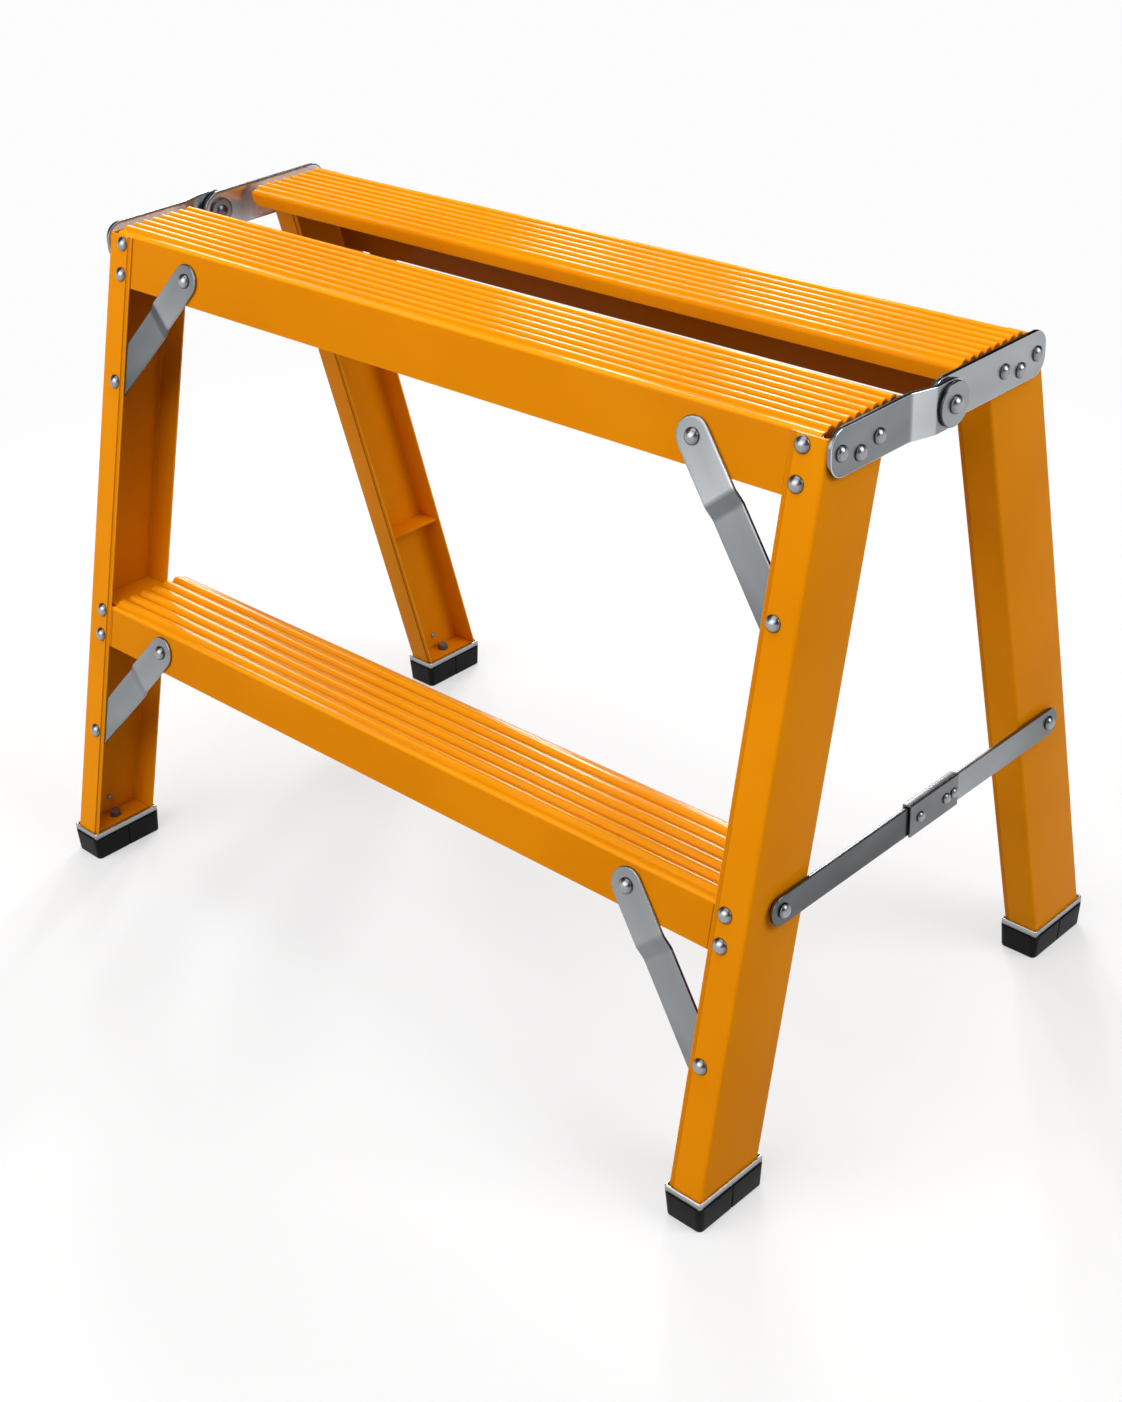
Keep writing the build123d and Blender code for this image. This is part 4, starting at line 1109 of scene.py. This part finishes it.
def rivet_shells(profile, seats, out=(1, 0, 0)):
    """Rivets of one kind at several seats, with painted shade round the rim of the head and below it and a
    painted highlight on the dome.
    """
    height = profile[:, 1]
    dome = np.interp(height, DOME_PLACES * height.max(), DOME_SHADE_AND_HIGHLIGHT)
    tone = np.where(height < RIVET_RIM_TOP, RIVET_RIM_SHADE, dome)
    shells = Shells()
    for points in turned(profile, seats, out):
        shells.spun(points, tone=tone)
    return shells


def face_rivets(profile, places, depth=0.0):
    """Rivets on the front face at both ends, at a depth behind the flange faces."""
    seats = [face_point(sign * x, height, depth) for x, height in places for sign in (1, -1)]
    return rivet_shells(profile, seats, face_out())


class SAWHORSE_OT_rivets(bpy.types.Operator):
    """Set the rivets of the planks, step, braces, hinge bars and fold pivots"""

    bl_idname = "sawhorse.rivets"
    bl_label = "Rivets"

    def execute(self, context):
        s = context.scene.sawhorse_sizes
        rivet_x = s.half_length - RIVET_INSET
        sheet_rivet = rivet_profile(*FRAME_RIVET, s.leg_wall + s.sheet)
        upper_rivet = rivet_profile(*FRAME_RIVET, BRACE_THICK + s.sheet)
        lower_rivet = rivet_profile(*FRAME_RIVET, s.leg_wall + BRACE_THICK)
        plank = face_rivets(sheet_rivet, [(rivet_x, s.tread - drop) for drop in PLANK_RIVET_DROPS])
        step = face_rivets(sheet_rivet, [(rivet_x, s.step_tread - drop) for drop in STEP_RIVET_DROPS])
        braces = []
        for height in (s.tread - BRACE_DROP, s.step_tread - STEP_BRACE_DROP):
            upper, lower = brace_ends(height)
            on_apron = face_rivets(upper_rivet, [upper], s.leg_wall - BRACE_THICK)
            braces.append(joined(on_apron, face_rivets(lower_rivet, [lower])))
        bar_x, axis = s.half_length + BAR_THICK, pivot_height()
        seats = [(bar_x, -reach, axis - drop) for reach, drop in BAR_RIVET_PLACES]
        bars = both_ends(rivet_shells(rivet_profile(*BAR_RIVET, BAR_THICK + s.leg_wall), seats))
        groups = (("plank_rivets", plank), ("brace_rivets", braces[0]), ("hinge_bar_rivets", bars))
        for name, front in groups:
            for side in SIDES:
                self.domed(f"{side}_{name}", moved_to(front, side), side)
        self.domed("step_rivets", step)
        self.domed("step_brace_rivets", braces[1])
        seat = BAR_OFFSETS["front"] + BAR_THICK + DISC_THICK
        pin = rivet_profile(*PIN_RIVET, seat + RUN_GAP + INNER_WASHER_THICK)
        self.domed("hinge_pins", both_ends(rivet_shells(pin, [(s.half_length + seat, 0, axis)])))
        return {"FINISHED"}

    def domed(self, node, shells, side="front"):
        """A finished group of rivets on one half of the frame."""
        make_piece(f"{node}_domed", shells, f"{side}_frame", "steel_rivet", node)


STAY_HEIGHT = 250 * MM
STAY_RADIUS = 12.5 * MM
STAY_THICK = 3.5 * MM
STAY_STANDOFF = 2.6 * MM
STAY_CENTRE = -9 * MM
STAY_WASHER_RADIUS = 9 * MM
# painted shade: the front stay bar darker all over, the rear one darker towards its rear end
FRONT_STAY_SHADE = -0.65
REAR_STAY_SHADES = (0, -0.4)  # at the sleeve and at the rear end
REAR_BAR_END = (18 * MM, 34 * MM)  # top and bottom of its slanted end, from the centre pivot
REAR_BAR_CORNER = 2 * MM
SLEEVE_WALL = 2 * MM
SLEEVE_SPAN = (-13 * MM, 50 * MM)
SLEEVE_SKIRT = 0.7 * MM
SLEEVE_BENDS = (1.6 * MM, 0.4 * MM)  # outer and inner radius
SLEEVE_EDGE = 0.4 * MM
SLEEVE_STATIONS = 8
SLEEVE_SHADES = (-0.42, -0.8)  # painted shade, outside and darker inside
SLEEVE_RIVETS = np.array([34, 44.5]) * MM


class SAWHORSE_OT_stay(bpy.types.Operator):
    """Make the folding stay: two bars, the sleeve over their joint, and its rivets"""

    bl_idname = "sawhorse.stay"
    bl_label = "Stay"

    def execute(self, context):
        s = context.scene.sawhorse_sizes
        end = -face_y(STAY_HEIGHT, s.leg_depth / 2)
        inner = s.half_length + STAY_STANDOFF
        outer = inner + STAY_THICK
        self.bars(s, end, inner)
        sleeve = self.sleeve(inner - RUN_GAP, outer + RUN_GAP)
        make_piece(
            "stay_sleeve_channel", sleeve, "rear_stay", "zinc_steel", "stay_sleeve", bevel=SLEEVE_EDGE
        )
        head = rivet_profile(*STAY_RIVET, STAY_THICK, False)
        self.fixed("rear_stay_rivet_domed", head, [(outer, end)], "rear_stay")
        washer_thick = STAY_STANDOFF - RUN_GAP
        front_washer, rear_washer = (
            disc_shells(STAY_WASHER_RADIUS, washer_thick, (s.half_length, y, STAY_HEIGHT), WASHER_EDGE)
            for y in (-end, end)
        )
        tail = rivet_profile(*STAY_RIVET, s.leg_wall + washer_thick)
        tail = np.concatenate([[(0, 0)], tail[tail[:, 1] <= 0][1:]])
        self.fixed("rear_stay_anchor_upset", tail, [(inner - RUN_GAP, end)], "rear_frame", rear_washer)
        pivot = rivet_profile(*STAY_RIVET, s.leg_wall + STAY_STANDOFF + STAY_THICK + RUN_GAP)
        self.fixed("front_stay_pivot_domed", pivot, [(outer + RUN_GAP, -end)], "front_frame", front_washer)
        sleeve_rivet = rivet_profile(*SLEEVE_RIVET, STAY_THICK + 2 * RUN_GAP + 2 * SLEEVE_WALL)
        face = outer + RUN_GAP + SLEEVE_WALL
        self.fixed("stay_centre_pivot_domed", sleeve_rivet, [(face, STAY_CENTRE)], "rear_stay")
        places = [(face, STAY_CENTRE + reach) for reach in SLEEVE_RIVETS]
        self.fixed("stay_sleeve_rivets_domed", sleeve_rivet, places, "rear_stay")
        return {"FINISHED"}

    def bars(self, s, end, inner):
        """The two bars: the front one has round ends, and the rear one a round end and a slanted one."""
        origin = (inner, 0, STAY_HEIGHT)
        outline = densify(slot_outline(-end, STAY_CENTRE, STAY_RADIUS), BAR_STEP)
        local = plate(outline, (-end, STAY_CENTRE), STAY_THICK, s.edge)
        front = set_plate(local, origin, END_AXES, FRONT_STAY_SHADE)
        make_piece("front_stay_strip", front, "front_stay", "zinc_steel", "front_stay_bar")
        round_end = half_turn(end, STAY_RADIUS, -pi / 2)
        top, bottom = (STAY_CENTRE + reach for reach in REAR_BAR_END)
        corners = [round_end[-1], (top, STAY_RADIUS), (bottom, -STAY_RADIUS), round_end[0]]
        slant = rounded_path(corners, REAR_BAR_CORNER, steps=5)[1:-1]
        outline = densify(np.concatenate([round_end, slant]), BAR_STEP)
        local = plate(outline, (bottom, end), STAY_THICK, s.edge)
        tone = np.interp(local[..., 0], [STAY_CENTRE + SLEEVE_SPAN[1], end], REAR_STAY_SHADES)
        rear = set_plate(local, origin, END_AXES, tone)
        make_piece("rear_stay_strip", rear, "rear_stay", "zinc_steel", "rear_stay_bar")

    def fixed(self, name, profile, places, body, *washers):
        """Rivets at places (x, y) at the stay's height, with any washers, named for their node and form."""
        seats = [(*place, STAY_HEIGHT) for place in places]
        shells = joined(rivet_shells(profile, seats), *washers)
        make_piece(name, shells, body, "steel_rivet", name.rpartition("_")[0])

    def sleeve(self, first, last):
        """Upside-down U between two inner faces, carried along the stay, with rounded upper bends."""
        low = STAY_HEIGHT - STAY_RADIUS - SLEEVE_SKIRT
        roof = STAY_HEIGHT + STAY_RADIUS + RUN_GAP
        stations = STAY_CENTRE + np.linspace(*SLEEVE_SPAN, SLEEVE_STATIONS)
        chains = []
        for wall, radius in zip((SLEEVE_WALL, 0), SLEEVE_BENDS):
            left, right, top = first - wall, last + wall, roof + wall
            chain = rounded_path([(left, low), (left, top), (right, top), (right, low)], radius)
            chains.append(carried(chain, stations)[..., [1, 0, 2]])
        shells = Shells()
        shells.strip(*chains, *SLEEVE_SHADES)
        return shells


FLOOR_THICK = 2.5 * MM
BOLT_HEAD = (5 * MM, 6 * MM)  # middle to flat, and height
BOLT_RADIUS = 3 * MM
BOLT_DEPTH = 14 * MM
BOLT_INSET = 14 * MM
BOLT_POINTS = 36
BOLT_CROWN = 0.95  # of the distance to the flats, where the cone ends
BOLT_CONE = 0.55  # fall of the cone over its run
BOLT_TONES = np.array([-0.8, -0.8, -0.8, -0.4, -0.2])  # from the shank to the top
BOLT_CREASE = 25
FOOT_RIVET_RISE = 17 * MM
FOOT_HEIGHT = 23.5 * MM
FOOT_CORNER = 6 * MM
FOOT_LIP = 1 * MM
FOOT_TAPER = radians(4)
FOOT_ROUNDS = (1.8 * MM, 0.8 * MM)  # edges at the floor and at the top
FOOT_STEP = 0.5 * MM
FOOT_ARC_POINTS = 6
FOOT_CREASE = 50
GROOVE_DEPTH = 1.2 * MM
GROOVE_HALF = 1.2 * MM
TRAY_BASE = 2 * MM
TRAY_WALL = 2 * MM
TRAY_RIM = 4 * MM
TRAY_GAP = 0.4 * MM
TRAY_STEP = 4 * MM
TRAY_ROUND = np.array([0.7, 0.2, 0]) * MM  # three points of each rounded edge
TRAY_SHADE_AND_HIGHLIGHT = np.array([-0.7, -0.5, -0.3, 0.1, 0.9, 1, 1, 0.9, 0, -0.8])  # painted highlight on its rim, painted shade at its base and on its floor


def foot_outline(middle, half, corner, steps, spacing):
    """Level rectangle with round corners about a middle point."""
    corners = middle + half * np.array([(-1, -1), (1, -1), (1, 1), (-1, 1)])
    return densify(rounded_path(corners, corner, steps, True), spacing)


def foot_rings(outline, push, heights):
    """Rings of one outline, pushed along its normals by [ring, point] and lifted to the rings' heights."""
    flat = outline + outward(outline) * push[..., None]
    level = np.broadcast_to(heights[:, None, None], (*flat.shape[:2], 1))
    return np.concatenate([flat, level], 2)


class SAWHORSE_OT_feet(bpy.types.Operator):
    """Mould the rubber feet, press the trays over them and bolt them on"""

    bl_idname = "sawhorse.feet"
    bl_label = "Feet"

    def execute(self, context):
        s = context.scene.sawhorse_sizes
        front, rear = face_y(LEG_END), face_y(LEG_END + TRAY_RIM, s.leg_depth)
        middle = np.array([s.half_length - s.leg_flange / 2, (front + rear) / 2])
        tray_half = np.array([s.leg_flange, rear - front]) / 2 + TRAY_GAP + TRAY_WALL
        forms = (
            ("foot", "block", self.rubber(middle, tray_half + FOOT_LIP), "black_rubber"),
            ("foot_tray", "pan", self.tray(middle, tray_half), "zinc_tray"),
        )
        for end in ENDS:
            for side in SIDES:
                for name, form, right, slot in forms:
                    node = f"{side}_{name}_{end}"
                    shells = moved_to(right, side, end)
                    make_piece(f"{node}_{form}", shells, f"{side}_frame", slot, node, crease=FOOT_CREASE)
        bolt = self.bolt(s.half_length - BOLT_INSET, middle[1])
        height = LEG_END + FOOT_RIVET_RISE
        seat = (s.half_length - s.leg_wall, face_y(height, s.leg_depth / 2), height)
        rivet = rivet_shells(rivet_profile(*FOOT_RIVET, s.leg_wall / 2, False), [seat], (-1, 0, 0))
        look = {"crease": BOLT_CREASE, "finish": "dulled_bolt"}
        for name, right in (("foot_bolts", bolt), ("foot_rivets", rivet)):
            for side in SIDES:
                node = f"{side}_{name}"
                shells = moved_to(both_ends(right), side)
                make_piece(f"{node}_turned", shells, f"{side}_frame", "steel_rivet", node, **look)
        return {"FINISHED"}

    def bolt(self, x, y):
        """Hexagon bolt: rings whose radius follows the flats of a hexagon, cut off at the top by a cone,
        over a round shank."""
        flat, rise = BOLT_HEAD
        angle = np.linspace(0, 2 * pi, BOLT_POINTS, endpoint=False)
        hexagon = flat / np.cos((angle + pi / 6) % (pi / 3) - pi / 6)
        crown = BOLT_CROWN * flat
        seat = LEG_END + FLOOR_THICK
        tip = FOOT_HEIGHT - BOLT_DEPTH - seat
        shoulder = rise - (hexagon - crown) * BOLT_CONE
        sections = ((BOLT_RADIUS, tip), (BOLT_RADIUS, 0), (hexagon, 0), (hexagon, shoulder), (crown, rise))
        rings = []
        for radius, height in sections:
            ring_x, ring_y = x + radius * np.cos(angle), y + radius * np.sin(angle)
            rings.append(np.stack(np.broadcast_arrays(ring_x, ring_y, seat + height), 1))
        shells = Shells()
        shells.rings(np.stack(rings), BOLT_TONES[:, None])
        return shells

    def rubber(self, middle, half):
        """Rubber block: rounded rectangles that taper towards the floor, with rounded rims and a groove in
        the middle of each long side."""
        outline = foot_outline(middle, half, FOOT_CORNER, steps=9, spacing=FOOT_STEP)
        along = (outline[:, 1] - middle[1]) / GROOVE_HALF
        groove = -GROOVE_DEPTH * np.clip(1 - along**2, 0, 1) ** 2
        turn = np.linspace(0, pi / 2, FOOT_ARC_POINTS)
        low, top = FOOT_ROUNDS
        low_edge, top_edge = low * (1 - np.cos(turn)), FOOT_HEIGHT - top * (1 - np.sin(turn))
        heights = np.concatenate([low_edge, [FOOT_HEIGHT / 2], top_edge])
        taper = -(FOOT_HEIGHT - heights) * tan(FOOT_TAPER)
        inset = np.concatenate([low * (np.sin(turn) - 1), [0], top * (np.cos(turn) - 1)])
        shells = Shells()
        shells.rings(foot_rings(outline, (taper + inset)[:, None] + groove, heights))
        return shells

    def tray(self, middle, half):
        """Tray: a shallow pan whose wall rises from a rounded base with painted shade to a rounded rim with
        a painted highlight, and drops again to its floor, which has painted shade."""
        outline = foot_outline(middle, half, TRAY_WALL + TRAY_GAP, steps=7, spacing=TRAY_STEP)
        low, top = FOOT_HEIGHT, LEG_END + TRAY_RIM
        near, far = TRAY_ROUND, TRAY_ROUND[::-1]
        push = np.concatenate([-near, -far, near - TRAY_WALL, [-TRAY_WALL]])
        heights = np.concatenate([low + far, top - near, top - far, [low + TRAY_BASE]])
        shells = Shells()
        shells.rings(foot_rings(outline, push[:, None], heights), TRAY_SHADE_AND_HIGHLIGHT[:, None])
        return shells


# Soft boxes: name, place, target, width and length, power
SOFT_BOXES = (
    ("key_box", (0.1, -2.3, 2.6), (0, 0, 0.4), (3.0, 2.2), 42.0),
    ("top_box", (0, 0, 2.9), (0, 0.01, 0.3), (2.2, 1.8), 26.0),
    ("front_box", (-0.4, -2.4, 1.35), (0, 0, 0.35), (2.6, 1.4), 25.0),
    ("side_box", (2.3, 0.6, 2.1), (0.2, 0, 0.4), (1.5, 1.5), 37.5),
    ("plank_strip", (-1.25, 1.33, 1.6), (0.115, -0.08, 0.6), (0.14, 1.0), 12.5),
    ("end_strip", (-0.91, 1.51, 1.5), (0.325, -0.08, 0.6), (0.14, 0.8), 12.0),
    ("step_strip", (-1.85, 0.97, 1.26), (-0.25, -0.16, 0.26), (0.16, 1.5), 10.0),
)
WHITE = (1.0, 1.0, 1.0, 1.0)
FLOOR_HALF = 15.0
FLOOR_LIFT = 0.45  # light of the floor's own where it is seen directly
FLOOR_FADE = {"From Min": 0.7, "From Max": 1.6}  # distance over which the floor turns plain white
FLOOR_FAR = 0.98
SURROUND_LIGHT = 0.22
# Upward part of a view direction between the horizon and the ceiling, and the light seen there
CEILING = {"From Min": 0.05, "From Max": 0.26, "To Min": 1.0, "To Max": 0.04}
SENSOR = 36.0  # millimetres


class SAWHORSE_OT_stage(bpy.types.Operator):
    """Set up the floor, the soft studio light and the camera"""

    bl_idname = "sawhorse.stage"
    bl_label = "Stage"

    def execute(self, context):
        self.floor(context)
        self.world(context)
        self.lamps(context)
        self.camera(context)
        context.scene.view_settings.view_transform = "Standard"
        return {"FINISHED"}

    def seen_directly(self, tree):
        """1 where a camera, mirror or glass ray arrives, else 0."""
        ray = add_node(tree, "ShaderNodeLightPath").outputs
        seen = ray["Is Camera Ray"]
        for kind in ("Is Glossy Ray", "Is Transmission Ray"):
            rays = {0: seen, 1: ray[kind]}
            seen = add_node(tree, "ShaderNodeMath", rays, operation="MAXIMUM").outputs["Value"]
        return seen

    def floor(self, context):
        """Wide level floor: pale and dull, lifted to white where it is seen directly, so that shadows stay
        soft, and plain white further off."""
        mesh = bpy.data.meshes.new("studio_floor")
        corners = np.array([(-1, -1, 0), (1, -1, 0), (1, 1, 0), (-1, 1, 0)]) * FLOOR_HALF
        mesh.from_pydata(corners.tolist(), [], [[0, 1, 2, 3]])
        material, tree = new_material("pale_studio_floor")
        seen = self.seen_directly(tree)
        finishes = context.scene.sawhorse_finishes
        greys = {MIX_SHARE: seen, MIX_FROM: rgba(finishes.floor_bounce), MIX_TO: rgba(finishes.floor)}
        grey = add_node(tree, "ShaderNodeMix", greys, data_type="RGBA").outputs[MIX_RESULT]
        dull = add_node(tree, "ShaderNodeBsdfDiffuse", {"Color": grey})
        lift = add_node(tree, "ShaderNodeMath", {0: seen, 1: FLOOR_LIFT}, operation="MULTIPLY")
        glow = add_node(tree, "ShaderNodeEmission", {"Color": WHITE, "Strength": lift})
        near = add_node(tree, "ShaderNodeAddShader", {0: dull, 1: glow})
        far = add_node(tree, "ShaderNodeEmission", {"Color": WHITE, "Strength": FLOOR_FAR})
        place = add_node(tree, "ShaderNodeTexCoord").outputs["Object"]
        away = add_node(tree, "ShaderNodeVectorMath", {0: place}, operation="LENGTH").outputs["Value"]
        fade = {"Value": away, **FLOOR_FADE}
        share = add_node(tree, "ShaderNodeMapRange", fade, interpolation_type="SMOOTHSTEP")
        shown = add_node(tree, "ShaderNodeMath", {0: share, 1: seen}, operation="MULTIPLY")
        both = add_node(tree, "ShaderNodeMixShader", {0: shown, 1: near, 2: far})
        add_node(tree, "ShaderNodeOutputMaterial", {"Surface": both})
        mesh.materials.append(material)
        plane = bpy.data.objects.new("studio_floor", mesh)
        context.scene.collection.objects.link(plane)

    def world(self, context):
        """Studio surround: an even dim light; seen directly it is white about the horizon and dims to the
        ceiling."""
        world = bpy.data.worlds.new("studio_surround")
        world.use_nodes = True
        tree = world.node_tree
        tree.nodes.clear()
        way = add_node(tree, "ShaderNodeTexCoord").outputs["Generated"]
        height = add_node(tree, "ShaderNodeSeparateXYZ", {"Vector": way}).outputs["Z"]
        dims = {"Value": height, **CEILING}
        ceiling = add_node(tree, "ShaderNodeMapRange", dims, interpolation_type="SMOOTHSTEP")
        limits = {"To Min": SURROUND_LIGHT, "To Max": ceiling}
        level = add_node(tree, "ShaderNodeMapRange", {"Value": self.seen_directly(tree), **limits})
        white = add_node(tree, "ShaderNodeBackground", {"Color": WHITE, "Strength": level})
        add_node(tree, "ShaderNodeOutputWorld", {"Surface": white})
        context.scene.world = world

    def lamps(self, context):
        """Soft boxes: a broad one high at the front, one overhead, a low one at the front and one at the
        right; and three narrow strips at the rear left, whose streaks run along the ribs of the planks and
        the step."""
        for name, place, target, size, power in SOFT_BOXES:
            lamp = bpy.data.lights.new(name, "AREA")
            lamp.shape = "RECTANGLE"
            lamp.size, lamp.size_y = size
            lamp.energy = power
            box = bpy.data.objects.new(name, lamp)
            box.location = place
            box.rotation_euler = (Vector(target) - Vector(place)).to_track_quat("-Z", "Y").to_euler()
            box.visible_camera = False
            context.scene.collection.objects.link(box)

    def camera(self, context):
        """Camera at the photograph's angle: its axes follow from azimuth, elevation and roll."""
        settings = context.scene.sawhorse_view
        az, el, roll = settings.azimuth, settings.elevation, settings.roll
        back = Vector((sin(az) * cos(el), -cos(az) * cos(el), sin(el)))
        right = Vector((cos(az), sin(az), 0))
        up = back.cross(right)
        turned_right = cos(roll) * right + sin(roll) * up
        turned_up = cos(roll) * up - sin(roll) * right
        data = bpy.data.cameras.new("photo_camera")
        data.sensor_width = SENSOR
        data.lens = settings.lens
        data.shift_x, data.shift_y = settings.shift
        camera = bpy.data.objects.new("photo_camera", data)
        axes = Matrix((turned_right, turned_up, back)).transposed()
        camera.matrix_world = Matrix.Translation(settings.place) @ axes.to_4x4()
        context.scene.collection.objects.link(camera)
        context.scene.camera = camera


class SAWHORSE_PT_panel(bpy.types.Panel):
    """Lists the sawhorse's pieces, sizes and finishes"""

    bl_label = "Sawhorse Ladder"
    bl_idname = "SAWHORSE_PT_panel"
    bl_space_type = "VIEW_3D"
    bl_region_type = "UI"
    bl_category = "Sawhorse"

    def draw(self, context):
        for operator in OPERATORS:
            self.layout.operator(operator.bl_idname)
        scene = context.scene
        for group in (scene.sawhorse_sizes, scene.sawhorse_finishes, scene.sawhorse_view):
            column = self.layout.column(align=True)
            for name in group.__annotations__:
                column.prop(group, name)


OPERATORS = (
    SAWHORSE_OT_kept,
    SAWHORSE_OT_legs,
    SAWHORSE_OT_planks,
    SAWHORSE_OT_step,
    SAWHORSE_OT_braces,
    SAWHORSE_OT_hinges,
    SAWHORSE_OT_rivets,
    SAWHORSE_OT_stay,
    SAWHORSE_OT_feet,
    SAWHORSE_OT_stage,
)
CLASSES = (SawhorseSizes, SawhorseFinishes, SawhorseView, *OPERATORS, SAWHORSE_PT_panel)


def register():
    """Register the classes and hang the settings on the scene."""
    for each in CLASSES:
        bpy.utils.register_class(each)
    bpy.types.Scene.sawhorse_sizes = bpy.props.PointerProperty(type=SawhorseSizes)
    bpy.types.Scene.sawhorse_finishes = bpy.props.PointerProperty(type=SawhorseFinishes)
    bpy.types.Scene.sawhorse_view = bpy.props.PointerProperty(type=SawhorseView)


def unregister():
    """Take the settings and classes away again."""
    del bpy.types.Scene.sawhorse_view
    del bpy.types.Scene.sawhorse_finishes
    del bpy.types.Scene.sawhorse_sizes
    for each in reversed(CLASSES):
        bpy.utils.unregister_class(each)


def main():
    """Build everything in order."""
    register()
    bpy.ops.sawhorse.kept()
    bpy.ops.sawhorse.legs()
    bpy.ops.sawhorse.planks()
    bpy.ops.sawhorse.step()
    bpy.ops.sawhorse.braces()
    bpy.ops.sawhorse.hinges()
    bpy.ops.sawhorse.rivets()
    bpy.ops.sawhorse.stay()
    bpy.ops.sawhorse.feet()
    bpy.ops.sawhorse.stage()
    bpy.context.view_layer.update()


if __name__ == "__main__":
    main()
